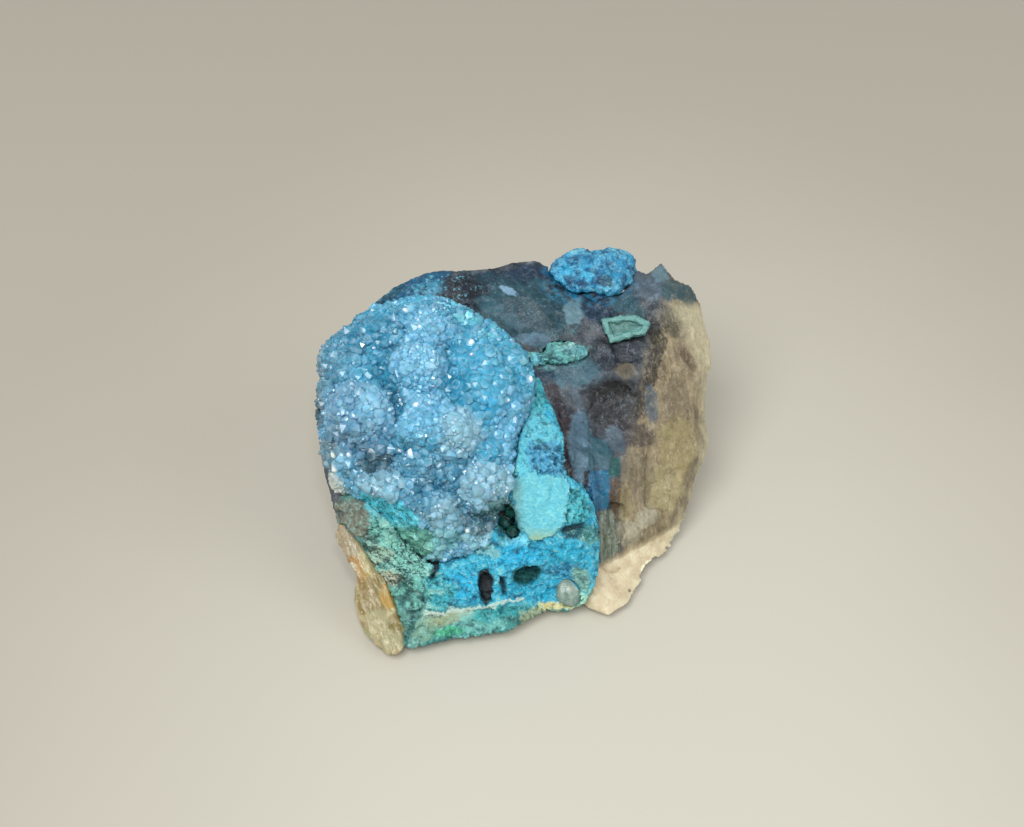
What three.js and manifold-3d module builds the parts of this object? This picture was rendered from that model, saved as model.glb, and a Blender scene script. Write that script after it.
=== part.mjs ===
// Dioptase on quartz: a loose mineral specimen, 40 mm wide, resting on its flat natural break.
//
// A flake of smoky quartz leans back over its rest face and thins to a pale sharp edge on the right.
// On its left grows a dome of drusy quartz, over its lower front a turquoise copper-mineral crust,
// and in the pocket between the two sits the green dioptase. Smaller growths lie on the flake.
//
// Units are millimetres, +Z is up, +X runs to the right along the show face, and the show face looks
// towards -Y. Shapes are laid out in the frame of that face: x to the right, u up along the face and
// n out of it. toPart turns such a point into the part's own axes.

import * as THREE from "three";
import { mergeVertices } from "three/addons/utils/BufferGeometryUtils.js";
import Module from "manifold-3d";

const wasm = await Module();
wasm.setup();

const { abs, atan2, cos, sin, hypot, sqrt, exp, max, min, PI } = Math;
const { degToRad, lerp, smoothstep } = THREE.MathUtils;
const Z_AXIS = new THREE.Vector3(0, 0, 1);

const FACE_LEAN = degToRad(50); // the show face's slope above the table
const GAP = 0.3; // clearance between two minerals that grew against each other
const REST_CLEARANCE = 0.12; // between the table and the underside of the flake's overhang

// ---------------------------------------------------------------- frame, noise and solids

const faceTurn = new THREE.Matrix4().makeRotationX(FACE_LEAN);
const toPart = (x, u, n) => new THREE.Vector3(x, u, n).applyMatrix4(faceTurn);

// Smooth noise from -1 to 1 whose features have the given size.
function noise(p, size) {
  const place = [p.x / size, p.y / size, p.z / size];
  const cell = place.map(Math.floor);
  const [fx, fy, fz] = place.map((v, i) => smoothstep(v - cell[i], 0, 1));
  const at = (i, j, k) => {
    const wave = sin((cell[0] + i) * 127.1 + (cell[1] + j) * 311.7 + (cell[2] + k) * 74.7) * 43758.5;
    return (wave - Math.floor(wave)) * 2 - 1;
  };
  const alongX = (j, k) => lerp(at(0, j, k), at(1, j, k), fx);
  return lerp(lerp(alongX(0, 0), alongX(1, 0), fy), lerp(alongX(0, 1), alongX(1, 1), fy), fz);
}

const rough = (p) => noise(p, 5) + 0.5 * noise(p, 2.1) + 0.3 * noise(p, 1.1);

function solidOf(geometry) {
  const bare = geometry.clone();
  bare.deleteAttribute("normal");
  bare.deleteAttribute("uv");
  const merged = mergeVertices(bare, 1e-4);
  return new wasm.Manifold(
    new wasm.Mesh({
      numProp: 3,
      vertProperties: merged.attributes.position.array,
      triVerts: new Uint32Array(merged.index.array),
    }),
  );
}

const join = (solids) => solids.reduce((all, next) => all.add(next));
const cut = (solid, tools) => tools.reduce((left, tool) => left.subtract(tool), solid);

// The largest body of a solid, so that crumbs left by a cut fall away.
const wholeBody = (solid) =>
  solid.decompose().reduce((most, next) => (next.volume() > most.volume() ? next : most));

function geometryOf(solid) {
  const mesh = solid.getMesh();
  const geometry = new THREE.BufferGeometry()
    .setAttribute("position", new THREE.BufferAttribute(mesh.vertProperties, mesh.numProp))
    .setIndex(new THREE.BufferAttribute(mesh.triVerts, 1))
    .toNonIndexed();
  geometry.computeVertexNormals();
  return geometry;
}

// A closed body over loops of points with the same count, closed by a point at each end.
function bodyOfLoops(firstPole, loops, lastPole) {
  const count = loops[0].length;
  const points = [firstPole, ...loops.flat(), lastPole];
  const at = (ring, i) => 1 + ring * count + (i % count);
  const faces = [];
  for (let i = 0; i < count; i++) {
    faces.push(0, at(0, i), at(0, i + 1));
    for (let ring = 0; ring + 1 < loops.length; ring++) {
      faces.push(at(ring, i), at(ring + 1, i), at(ring + 1, i + 1));
      faces.push(at(ring, i), at(ring + 1, i + 1), at(ring, i + 1));
    }
    faces.push(points.length - 1, at(loops.length - 1, i + 1), at(loops.length - 1, i));
  }
  return solidOf(new THREE.BufferGeometry().setFromPoints(points).setIndex(faces));
}

// An outline on the face, through its corners. distanceTo gives how far it lies from the centre in
// the direction of a point.
function outlineThrough(corners, centre) {
  const curve = new THREE.CatmullRomCurve3(
    corners.map(([x, u]) => new THREE.Vector3(x, u, 0)),
    true,
    "centripetal",
  );
  const sectors = 240;
  const sector = (x, u) => {
    const turn = atan2(u - centre[1], x - centre[0]) / (2 * PI) + 0.5;
    return Math.floor(turn * sectors) % sectors;
  };
  const far = [];
  for (const p of curve.getSpacedPoints(sectors * 10)) {
    far[sector(p.x, p.y)] = hypot(p.x - centre[0], p.y - centre[1]);
  }
  return {
    points: (count) => curve.getSpacedPoints(count).slice(0, count),
    distanceTo: (x, u) => far[sector(x, u)],
  };
}

// ---------------------------------------------------------------- smoky quartz flake

const flake = {
  centre: [0.5, 9.0],
  spokes: 62,
  faceRings: [0.92, 0.8, 0.66, 0.5, 0.3],
  rimPlane: { height: 5.9, slopeX: -0.256, slopeU: -0.177 },
  swell: 3.6, // how far the show face stands out of the rim's plane
  swellReach: 5, // the distance from the rim over which it does
  shelf: { height: 3.4, left: [-6, 2], right: [7.6, 10.6], top: [9, 15] }, // under the crust
  paleLedge: { from: [8.6, -2.8], to: [17.0, 2.4], drop: 0.7, width: 0.35 }, // at the lower right
  grain: 0.45,
  edgeThickness: 2.4, // the thin right edge, where it meets the bulk
  rimOverTable: 0.9, // least height of the rim, where it comes down to the table
  heelTuck: [0.04, 0.33], // the heel's distance in from the rim, at the bulk and at the thin edge
  heelRings: [0.5, 1],
  bellyRings: [0.25, 0.5, 0.75, 1],
  bellyHeight: 0.34, // how low the belly hangs, as a share of the heel's height
  bellyBumps: 0.8,
  restCentre: [-1.5, -1.0],
  restHalf: [11.5, 10.5], // the rest face's half width and half depth
  restRagged: 0.08,
};

// The flake's rim, counterclockwise from its lower left, as [x, u].
const flakeRim = outlineThrough(
  [
    [-8.5, -8.0], [-5.5, -7.5], [-2.0, -7.2], [0.8, -6.6], [2.8, -5.6], [6.4, -5.4],
    [8.0, -6.2], [9.7, -6.7], [11.2, -5.9], [13.4, -3.3], [15.9, -0.9], [17.7, 2.3],
    [18.7, 5.2], [19.2, 7.3], [20.5, 9.2], [20.2, 11.4], [20.3, 16.3], [21.0, 19.0],
    [20.2, 22.6], [19.6, 25.2], [18.8, 26.4], [17.4, 26.7], [16.3, 28.1], [15.4, 28.8],
    [14.9, 27.7], [14.1, 27.5], [12.7, 28.0], [10.5, 28.2], [8.0, 28.0], [5.4, 27.8],
    [4.0, 28.0], [2.8, 28.7], [0.6, 28.4], [-2.1, 27.7], [-6.1, 27.4], [-9.0, 27.1],
    [-10.7, 26.2], [-13.3, 24.4], [-15.4, 22.0], [-17.2, 19.4], [-18.2, 16.5], [-18.6, 13.0],
    [-18.6, 10.0], [-18.2, 7.0], [-17.3, 3.9], [-16.4, 1.6], [-14.6, -0.6], [-12.6, -3.4],
    [-11.4, -5.4], [-10.2, -7.4],
  ],
  flake.centre,
);

// The rim lies in a plane a little turned from the face, lifted where that would pass the table.
function rimDepth(x, u) {
  const { height, slopeX, slopeU } = flake.rimPlane;
  const plane = height + slopeX * x + slopeU * u;
  const aboveTable = (flake.rimOverTable - u * sin(FACE_LEAN)) / cos(FACE_LEAN);
  return max(plane, aboveTable);
}

// The height of the flake's face over the plane n = 0, and of its rim outside the outline.
function faceHeight(x, u) {
  const [cx, cu] = flake.centre;
  const inward = max(0, flakeRim.distanceTo(x, u) - hypot(x - cx, u - cu));
  const { height, left, right, top } = flake.shelf;
  const acrossShelf = smoothstep(x, ...left) * (1 - smoothstep(x, ...right));
  const shelf = height * acrossShelf * (1 - smoothstep(u, ...top));
  const { from, to, drop, width } = flake.paleLedge;
  const along = (x - from[0]) / (to[0] - from[0]);
  const above = u - lerp(from[1], to[1], along);
  const ledge = drop * smoothstep(above, -width, width) * smoothstep(along, -0.1, 0.1);
  const grain = flake.grain * rough(new THREE.Vector3(1.6 * x, 0.8 * u, 0));
  const rise = (flake.swell + shelf) * (1 - exp(-inward / flake.swellReach));
  return rimDepth(x, u) + rise + ledge * min(1, inward) + grain * min(1, inward / 2);
}

// Shell-shaped breaks in the face, as [x, u, depth, radius, stretch along u].
const shellBreaks = [
  [1.0, 23.4, 1.1, 11, 0.7],
  [11.4, 13.8, 1.0, 8, 0.9],
  [15.2, 24.2, 0.7, 8, 0.8],
];

// Flat ledges in the face, as [x, u, depth, width, length, turn, lean in x, lean in u].
const ledges = [
  [6.9, 9.0, 0.7, 2.6, 9.8, -4, 0.45, 0],
  [9.2, 7.6, 0.6, 2.8, 5.6, 6, 0.3, 0.1],
  [9.8, 0.6, 0.5, 2.6, 7.0, -6, 0.7, 0],
  [15.0, 8.6, 0.4, 3.5, 11, -8, 0.4, 0],
  [12.4, 20.0, 0.5, 5, 4, 18, 0.1, 0.25],
];

// Flat breaks that shave the back and the underside, as [direction, depth].
const backBreaks = [
  [[-0.3, 0.8, -0.5], 2.0],
  [[0.5, 0.7, -0.5], 2.2],
  [[-0.9, 0.3, -0.35], 1.3],
  [[0.75, 0.1, -0.65], 1.6],
  [[-0.7, 0.6, -0.3], 1.4],
];

function shellTool([x, u, depth, radius, stretch]) {
  const ball = new THREE.IcosahedronGeometry(radius, 2).scale(1, stretch, 1);
  ball.translate(x, u, faceHeight(x, u) - depth + radius);
  return solidOf(ball.applyMatrix4(faceTurn));
}

function ledgeTool([x, u, depth, width, length, turn, leanX, leanU]) {
  const block = new THREE.BoxGeometry(width, length, 12).translate(0, 0, 6);
  const lean = new THREE.Vector3(leanX, leanU, 1).normalize();
  block.rotateZ(degToRad(turn));
  block.applyQuaternion(new THREE.Quaternion().setFromUnitVectors(Z_AXIS, lean));
  block.translate(x, u, faceHeight(x, u) - depth);
  return solidOf(block.applyMatrix4(faceTurn));
}

// The break stops a little outside the rim, so that it leaves the outline whole.
function backTool(body, rim, [direction, depth]) {
  const away = new THREE.Vector3(...direction).normalize();
  const places = body.getMesh().vertProperties;
  let furthest = -Infinity;
  for (let i = 0; i < places.length; i += 3) {
    furthest = max(furthest, away.dot(new THREE.Vector3().fromArray(places, i)));
  }
  const rimAt = max(...rim.map((p) => away.dot(p)));
  const breakAt = max(furthest - depth, rimAt + 0.2);
  const block = new THREE.BoxGeometry(90, 90, 20).translate(0, 0, breakAt + 10);
  return solidOf(
    block.applyQuaternion(new THREE.Quaternion().setFromUnitVectors(Z_AXIS, away)),
  );
}

function flakeSolid() {
  const rim = flakeRim.points(flake.spokes);
  const onFace = (p, t) => {
    const x = lerp(flake.centre[0], p.x, t);
    const u = lerp(flake.centre[1], p.y, t);
    return toPart(x, u, faceHeight(x, u));
  };
  const edge = rim.map((p) => onFace(p, 1));
  const face = flake.faceRings.map((t) => rim.map((p) => onFace(p, t))).reverse();
  const heels = rim.map(heelOf);
  const heelLoops = flake.heelRings.map((share) =>
    heels.map((heel, i) => edge[i].clone().lerp(heel, share)),
  );
  const bellyLoops = flake.bellyRings.map((share) =>
    heels.map((heel, i) => bellyPoint(heel, edge[i], share)),
  );
  const restPole = new THREE.Vector3(...flake.restCentre, 0);
  const body = bodyOfLoops(
    onFace(rim[0], 0),
    [...face, edge, ...heelLoops, ...bellyLoops],
    restPole,
  );
  return cut(body, [
    ...shellBreaks.map(shellTool),
    ...ledges.map(ledgeTool),
    ...backBreaks.map((each) => backTool(body, edge, each)),
  ]);
}

// How thin the flake is at a place: 0 over the bulk, 1 at the right edge.
const thinness = (x) => smoothstep(x, 8, 15);

// Where the flake's thin edge meets the bulk, on the underside.
function heelOf(p) {
  const t = 1 - lerp(...flake.heelTuck, thinness(p.x));
  const x = lerp(flake.centre[0], p.x, t);
  const u = lerp(flake.centre[1], p.y, t);
  const heel = toPart(x, u, faceHeight(x, u) - flake.edgeThickness);
  heel.z = max(heel.z, REST_CLEARANCE);
  return heel;
}

// A point of the underside, which swings from the heel down to the outline of the rest face.
function bellyPoint(heel, edge, share) {
  const [cx, cy] = flake.restCentre;
  const bearing = atan2(edge.y - cy, edge.x - cx);
  const half = new THREE.Vector2(flake.restHalf[0] * cos(bearing), flake.restHalf[1] * sin(bearing));
  const ragged = 1 + flake.restRagged * noise(edge, 6);
  const inside = min(ragged, (0.9 * hypot(edge.x - cx, edge.y - cy)) / half.length());
  const rest = new THREE.Vector3(cx + half.x * inside, cy + half.y * inside, 0);
  const middle = new THREE.Vector3(heel.x, heel.y, flake.bellyHeight * heel.z);
  const point = new THREE.QuadraticBezierCurve3(heel, middle, rest).getPoint(share);
  const outward = new THREE.Vector3(cos(bearing), sin(bearing), 0);
  return point.addScaledVector(outward, flake.bellyBumps * rough(point) * sin(PI * share));
}

// ---------------------------------------------------------------- drusy quartz dome

const dome = {
  centre: [-8.6, 11.4],
  spokes: 36,
  rings: [0.25, 0.48, 0.7, 0.88, 1],
  swell: 5.2, // how far its middle stands out of its rim
  rim: { height: 10.1, slopeX: 0.118, slopeU: -0.187 },
  rimArch: { height: 2.7, middle: 11.6, half: 13.4 }, // the rim is higher half way up
  leastThickness: 1.2, // over the flake, at its rim
  wall: 1.6, // the rim's thickness where it overhangs the flake
  backSwell: 4.5,
  seat: 1.0, // how far the body reaches below the flake's face
};

// The larger quartz points. They splay outwards from the dome's middle and lean at random.
const druse = { spacing: 2.6, radius: 2.0, height: 1.65, sunk: 0.5, splay: 0.03, lean: 0.35 };
const POINT_HEADROOM = 3; // over the body, for the tallest point

// The dome's outline, clockwise from its lower left, as [x, u].
const domeRim = outlineThrough(
  [
    [-17.0, 6.4], [-18.1, 8.2], [-18.5, 10.6], [-18.9, 12.9], [-18.8, 15.4], [-18.6, 17.6],
    [-17.4, 20.3], [-15.4, 21.9], [-14.6, 22.6], [-12.2, 23.8], [-9.8, 24.5], [-7.4, 24.6],
    [-6.0, 24.0], [-3.5, 22.7], [-0.8, 21.0], [0.9, 19.3], [2.1, 17.1], [2.2, 15.2],
    [1.4, 12.6], [0.7, 10.2], [0.3, 7.4], [-0.4, 4.8], [-1.6, 2.6], [-2.4, 0.6],
    [-4.4, -0.6], [-7.3, -1.4], [-9.2, -0.4], [-11.1, 1.9], [-13.1, 4.0], [-15.2, 5.0],
  ],
  dome.centre,
);

// Grape-like lumps of the dome, as [x, u, radius, height].
const domeLumps = [
  [-8.2, 21.5, 2.3, 1.2], [-9.6, 17.4, 2.5, 1.6], [-15.4, 13.6, 3.6, 1.6],
  [-7.1, 11.6, 3.8, 1.9], [-2.4, 6.2, 2.6, 1.6], [-16.6, 18.2, 3.2, 1.2],
  [-1.6, 16.5, 3.6, 1.2], [-8.0, 4.6, 3.2, 1.3], [-13.0, 6.8, 2.8, 1.0],
  [-17.0, 9.4, 2.4, 1.0], [-4.6, 1.2, 2.4, 1.0], [-12.6, 21.6, 2.6, 1.0],
  [-4.4, 21.2, 2.4, 1.0], [-9.8, 0.6, 2.0, 0.8],
];
const crevice = { from: [-12.9, 19.4], to: [-11.0, 13.6], width: 0.9, depth: 1.3 };

function creviceDepth(x, u) {
  const line = new THREE.Line3(
    new THREE.Vector3(...crevice.from, 0),
    new THREE.Vector3(...crevice.to, 0),
  );
  const here = new THREE.Vector3(x, u, 0);
  const nearest = line.closestPointToPoint(here, true, new THREE.Vector3());
  return crevice.depth * exp(-((here.distanceTo(nearest) / crevice.width) ** 2));
}

function domeHeight(x, u) {
  const [cx, cu] = dome.centre;
  const t = min(1, hypot(x - cx, u - cu) / domeRim.distanceTo(x, u));
  const arch = dome.rimArch.height * (1 - ((u - dome.rimArch.middle) / dome.rimArch.half) ** 2);
  const ownRim = dome.rim.height + dome.rim.slopeX * x + dome.rim.slopeU * u + arch;
  const rim = max(ownRim, faceHeight(x, u) + dome.leastThickness);
  const lump = domeLumps.reduce((most, [lx, lu, radius, height]) => {
    const away = hypot(x - lx, u - lu) / radius;
    return max(most, height * (1 - away * away));
  }, 0);
  const relief = (lump - creviceDepth(x, u)) * min(1, 3 * (1 - t));
  return rim + domeSwell(t) + relief;
}

// The dome's rise over its rim, from its middle (t = 0) to its outline (t = 1).
const domeSwell = (t) => dome.swell * (1 - t ** 2.4);

// The dome's body. headroom lifts its whole front, to make the space that its crystals fill.
function domeBody(grow, headroom) {
  const rim = domeRim.points(dome.spokes).reverse();
  const [cx, cu] = dome.centre;
  const ring = (t, depthAt) =>
    rim.map((p) => {
      const wider = 1 + grow / hypot(p.x - cx, p.y - cu);
      const x = lerp(cx, p.x, t * wider);
      const u = lerp(cu, p.y, t * wider);
      return toPart(x, u, depthAt(x, u, t));
    });
  const front = (x, u) => domeHeight(x, u) + headroom;
  const back = (x, u, t) => {
    const thickness = domeSwell(t) + dome.wall + dome.backSwell * sqrt(1 - t * t);
    return min(domeHeight(x, u) - thickness, faceHeight(x, u) - dome.seat) - grow;
  };
  const frontLoops = dome.rings.map((t) => ring(t, front));
  const backLoops = [1, 0.93, 0.6].map((t) => ring(t, back));
  return bodyOfLoops(ring(0, front)[0], [...frontLoops, ...backLoops], ring(0, back)[0]);
}

// A six-sided quartz tip that points along +Z, with its foot sunk below the origin.
const quartzTip = (size) =>
  new THREE.ConeGeometry(druse.radius * size, druse.height * size, 6)
    .rotateX(PI / 2)
    .translate(0, 0, 0.5 * druse.height * size - druse.sunk);

function drusePoint(x, u, seed) {
  const [cx, cu] = dome.centre;
  const step = 0.4; // over which the dome's slope is measured
  const n = domeHeight(x, u);
  const outward = new THREE.Vector3(
    (n - domeHeight(x + step, u)) / step + druse.splay * (x - cx) + druse.lean * noise(seed, 1.3),
    (n - domeHeight(x, u + step)) / step + druse.splay * (u - cu) + druse.lean * noise(seed, 1.7),
    1,
  ).normalize();
  return quartzTip(1 + 0.25 * noise(seed, 0.9))
    .rotateZ(PI * noise(seed, 2.3))
    .applyQuaternion(new THREE.Quaternion().setFromUnitVectors(Z_AXIS, outward))
    .translate(x, u, n);
}

function druseSolids() {
  const [cx, cu] = dome.centre;
  const points = [];
  for (let row = -7; row <= 7; row++) {
    for (let column = -6; column <= 6; column++) {
      const seed = new THREE.Vector3(3.7 * row, 5.3 * column, 1.7);
      const x = cx + (column + 0.5 * abs(row % 2)) * druse.spacing + 0.5 * noise(seed, 1.9);
      const u = cu + row * druse.spacing * sin(PI / 3) + 0.5 * noise(seed, 2.9);
      if (hypot(x - cx, u - cu) > 0.96 * domeRim.distanceTo(x, u)) continue;
      points.push(solidOf(drusePoint(x, u, seed).applyMatrix4(faceTurn)));
    }
  }
  return points;
}

// ---------------------------------------------------------------- growths over the flake's face

// Turquoise crust: the ledge beside the dome, the sheet below it, the band over the lower front, the
// wrinkled skirt on the left and the thin lower lip. It reaches under the dome, which cuts it off.
const crust = {
  centre: [1.0, -0.5],
  spokes: 44,
  rings: [0.3, 0.56, 0.78, 0.93, 1],
  thickness: 1.9,
  edge: 0.9, // thickness at the outline
  depth: 1.0, // how far the body reaches below the face
  bumps: 0.35,
  corners: [
    [2.8, 16.4], [3.4, 14.4], [4.4, 12.4], [4.9, 11.2], [5.0, 8.8], [5.3, 6.8],
    [6.9, 5.8], [8.0, 3.7], [8.5, 0.8], [8.3, -2.7], [7.3, -5.4], [5.8, -6.3],
    [2.8, -6.2], [0.8, -7.6], [-2.0, -8.2], [-5.9, -8.6], [-10.0, -9.3], [-11.6, -7.6],
    [-12.6, -4.6], [-14.4, -1.6], [-16.2, 1.2], [-17.2, 4.0], [-15.0, 5.6], [-4.0, 5.0],
    [-0.6, 12.0], [1.0, 17.6],
  ],
};
const foot = {
  centre: [-12.9, -5.4],
  spokes: 26,
  rings: [0.45, 0.8, 1],
  thickness: 1.9,
  edge: 0.5,
  depth: 2.6,
  bumps: 0.2,
  corners: [
    [-10.2, -9.2], [-10.3, -7.6], [-11.2, -5.6], [-12.2, -3.4], [-13.6, -1.4], [-15.2, 1.2],
    [-16.6, 2.2], [-17.0, 1.2], [-16.0, -0.8], [-14.8, -3.0], [-15.1, -5.2], [-14.1, -8.1],
    [-12.2, -9.6], [-11.1, -10.1],
  ],
};
const cap = {
  centre: [8.4, 27.4],
  spokes: 26,
  rings: [0.45, 0.8, 1],
  thickness: 1.9,
  edge: 0.6,
  depth: 1.4,
  bumps: 0.45,
  corners: [
    [3.9, 27.7], [5.4, 26.3], [6.7, 25.3], [8.4, 25.6], [10.5, 25.0], [11.8, 25.9],
    [12.7, 27.1], [13.1, 28.4], [12.8, 29.5], [10.7, 30.2], [8.8, 29.8], [6.7, 30.0],
    [4.9, 28.9],
  ],
};
const ridge = {
  centre: [4.6, 19.0],
  spokes: 30,
  rings: [0.6, 1],
  thickness: 1.3,
  edge: 0.6,
  depth: 1.5,
  bumps: 0.35,
  corners: [
    [1.4, 19.0], [2.3, 17.7], [3.5, 18.1], [4.9, 18.0], [6.2, 18.3], [7.5, 18.7],
    [7.6, 19.4], [6.6, 19.9], [5.5, 20.1], [4.0, 19.9], [3.2, 19.1],
  ],
};

// A sheet seated in the flake's face, or the room it needs when grow is above 0.
function sheetSolid(growth, grow = 0) {
  const [cx, cu] = growth.centre;
  const outline = outlineThrough(growth.corners, growth.centre).points(growth.spokes);
  const around = signedArea(outline) > 0 ? outline : outline.reverse();
  const ring = (t, heightOver) =>
    around.map((p) => {
      const wider = 1 + grow / hypot(p.x - cx, p.y - cu);
      const x = lerp(cx, p.x, t * wider);
      const u = lerp(cu, p.y, t * wider);
      return toPart(x, u, faceHeight(x, u) + heightOver(x, u, t));
    });
  const front = (x, u, t) => {
    const body = lerp(growth.edge, growth.thickness, sqrt(1 - t ** 3));
    return body + growth.bumps * rough(new THREE.Vector3(x, u, 7)) * min(1, 4 - 4 * t) + grow;
  };
  const back = () => -growth.depth - grow;
  const frontLoops = growth.rings.map((t) => ring(t, front));
  const backLoops = [0.98, 0.5].map((t) => ring(t, back));
  return bodyOfLoops(ring(0, front)[0], [...frontLoops, ...backLoops], ring(0, back)[0]);
}

const signedArea = (loop) =>
  loop.reduce((sum, p, i) => {
    const next = loop[(i + 1) % loop.length];
    return sum + p.x * next.y - next.x * p.y;
  }, 0) / 2;

// Holes through the crust and the pocket beside the dome, as [x, u, half width, half length, turn].
const crustHoles = [
  [-2.5, -4.4, 0.75, 1.6, 0],
  [1.6, -2.9, 1.3, 0.85, 25],
];
const pocket = [-0.2, 2.5, 1.4, 2.6, 12];
const holeDepth = { lift: 2.0, half: 3.0 }; // of the hollow's middle over the face, and its half depth
const chip = { place: [5.6, -4.6], half: [1.15, 1.35, 0.5], turn: 25, lift: 1.9 };

const ellipsoid = (x, u, n, half, turn) =>
  solidOf(
    new THREE.IcosahedronGeometry(1, 1)
      .scale(...half)
      .rotateZ(degToRad(turn))
      .translate(x, u, n)
      .applyMatrix4(faceTurn),
  );

const holeTool = ([x, u, halfX, halfU, turn]) =>
  ellipsoid(x, u, faceHeight(x, u) + holeDepth.lift, [halfX, halfU, holeDepth.half], turn);

function chipSolid(grow) {
  const [x, u] = chip.place;
  return ellipsoid(x, u, faceHeight(x, u) + chip.lift, chip.half.map((h) => h + grow), chip.turn);
}

// ---------------------------------------------------------------- flat-faced crystals

const plate = {
  centre: [11.6, 21.6],
  height: 0.9, // of its border over the flake
  depth: 2.4,
  recess: 0.35,
  border: 0.55,
  corners: [
    [-2.4, 0.9], [-1.5, -1.4], [-0.3, -1.1], [0.9, -0.7], [2.0, -0.5], [2.5, 0.5],
    [0.9, 1.3], [-1.2, 1.0],
  ],
};

const plateTop = faceHeight(...plate.centre) + plate.height;

function platePrism(grow, depth, top) {
  const outline = plate.corners.map(([x, u]) => {
    const wider = 1 + grow / hypot(x, u);
    return new THREE.Vector2(x, u).multiplyScalar(wider);
  });
  const slab = new THREE.ExtrudeGeometry(new THREE.Shape(outline), { depth, bevelEnabled: false });
  return solidOf(slab.translate(...plate.centre, top - depth).applyMatrix4(faceTurn));
}

const plateSolid = () =>
  platePrism(0, plate.depth, plateTop).subtract(
    platePrism(-plate.border, 2 * plate.recess, plateTop + plate.recess),
  );

// Stubby dioptase prisms in the pocket, as [x, u, radius, height, lean in x, lean in u].
const dioptase = [
  [0.0, 3.6, 0.7, 1.2, 0.15, -0.2],
  [-0.5, 2.5, 0.65, 1.0, -0.3, -0.1],
  [0.1, 1.5, 0.7, 1.3, 0.2, 0.3],
  [-0.1, 4.2, 0.5, 0.8, -0.2, 0.2],
];
const dioptaseRoot = 1.6; // how far the prisms reach below the face, through the pocket's floor

function dioptaseSolid(grow) {
  const prisms = dioptase.map(([x, u, radius, height, leanX, leanU]) => {
    const [low, side] = [-dioptaseRoot - grow, radius + grow];
    const profile = [[0, low], [side, low], [side, 0.5 * height], [0, height + grow]];
    const lathe = new THREE.LatheGeometry(profile.map((p) => new THREE.Vector2(...p)), 6);
    const lean = new THREE.Vector3(leanX, leanU, 1).normalize();
    lathe.rotateX(PI / 2);
    lathe.applyQuaternion(new THREE.Quaternion().setFromUnitVectors(Z_AXIS, lean));
    lathe.translate(x, u, faceHeight(x, u));
    return solidOf(lathe.applyMatrix4(faceTurn));
  });
  return join(prisms);
}

// ---------------------------------------------------------------- the specimen

const table = solidOf(new THREE.BoxGeometry(120, 120, 40).translate(0, 0, -20));
const domeRoom = domeBody(GAP, POINT_HEADROOM + GAP);
const footRoom = sheetSolid(foot, GAP);
const plateRoom = platePrism(GAP, plate.depth + 2 * GAP, plateTop + GAP);
const pocketTool = holeTool(pocket);
const dioptaseRoom = dioptaseSolid(GAP);
const druseOutline = domeBody(0, POINT_HEADROOM);
const domeWithPoints = join([domeBody(0, 0), ...druseSolids()]).intersect(druseOutline);

// Name, solid and finish of each mineral.
const minerals = [
  [
    "smoky_quartz_flake",
    cut(flakeSolid(), [
      domeRoom, footRoom, sheetSolid(crust, GAP), sheetSolid(cap, GAP), sheetSolid(ridge, GAP),
      plateRoom, dioptaseRoom,
    ]),
    { color: 0x5f5c5c, roughness: 0.35 },
  ],
  [
    "drusy_quartz_dome",
    cut(domeWithPoints, [pocketTool, dioptaseRoom]),
    { color: 0x7fb4cc, roughness: 0.2 },
  ],
  [
    "turquoise_crust",
    cut(sheetSolid(crust), [
      domeRoom, footRoom, chipSolid(GAP), pocketTool, dioptaseRoom,
      ...crustHoles.map(holeTool), table,
    ]),
    { color: 0x3fb3cc, roughness: 0.8 },
  ],
  ["chalcedony_foot", cut(sheetSolid(foot), [domeRoom, table]), { color: 0xbcae7c, roughness: 0.4 }],
  ["blue_cap_crust", sheetSolid(cap), { color: 0x3f8fb6, roughness: 0.8 }],
  ["turquoise_ridge", cut(sheetSolid(ridge), [domeRoom]), { color: 0x6fbfc0, roughness: 0.8 }],
  ["tabular_crystal", plateSolid(), { color: 0x5f9a92, roughness: 0.4 }],
  ["clear_quartz_chip", chipSolid(0), { color: 0x9fb0a0, roughness: 0.2 }],
  ["dioptase_crystals", dioptaseSolid(0), { color: 0x0f5f4a, roughness: 0.2 }],
];

const specimen = new THREE.Group();
for (const [name, solid, finish] of minerals) {
  const material = new THREE.MeshStandardMaterial({ ...finish, metalness: 0 });
  const mesh = new THREE.Mesh(geometryOf(wholeBody(solid)), material);
  mesh.name = name;
  specimen.add(mesh);
}

// The origin is the middle of the footprint, on the table.
const extent = new THREE.Box3().setFromObject(specimen);
const middle = extent.getCenter(new THREE.Vector3());
specimen.position.set(-middle.x, -middle.y, -extent.min.z);

export default specimen;
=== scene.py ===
from math import cos, pi, radians, sin

import bpy
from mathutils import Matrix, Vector


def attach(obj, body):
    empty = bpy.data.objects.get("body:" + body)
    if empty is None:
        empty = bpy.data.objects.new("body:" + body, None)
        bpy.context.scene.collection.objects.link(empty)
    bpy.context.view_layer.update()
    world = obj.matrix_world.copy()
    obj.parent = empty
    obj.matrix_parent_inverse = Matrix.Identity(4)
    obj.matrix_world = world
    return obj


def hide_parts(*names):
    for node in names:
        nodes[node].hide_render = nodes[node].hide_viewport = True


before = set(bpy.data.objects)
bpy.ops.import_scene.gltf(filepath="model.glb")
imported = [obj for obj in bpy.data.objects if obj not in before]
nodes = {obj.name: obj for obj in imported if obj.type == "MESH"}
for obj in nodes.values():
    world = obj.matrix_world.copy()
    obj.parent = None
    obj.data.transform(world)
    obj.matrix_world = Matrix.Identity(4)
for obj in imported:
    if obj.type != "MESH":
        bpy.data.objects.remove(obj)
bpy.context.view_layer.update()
mm = 0.001
quartzIor = 1.54

# The show face leans back from the table. Places on it are given in mm: x to the right, u up along
# the face and n out of it, from a point of the table under the specimen.
face = {"lean": radians(50), "origin": (-1.001, -2.541, 0.0)}


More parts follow.
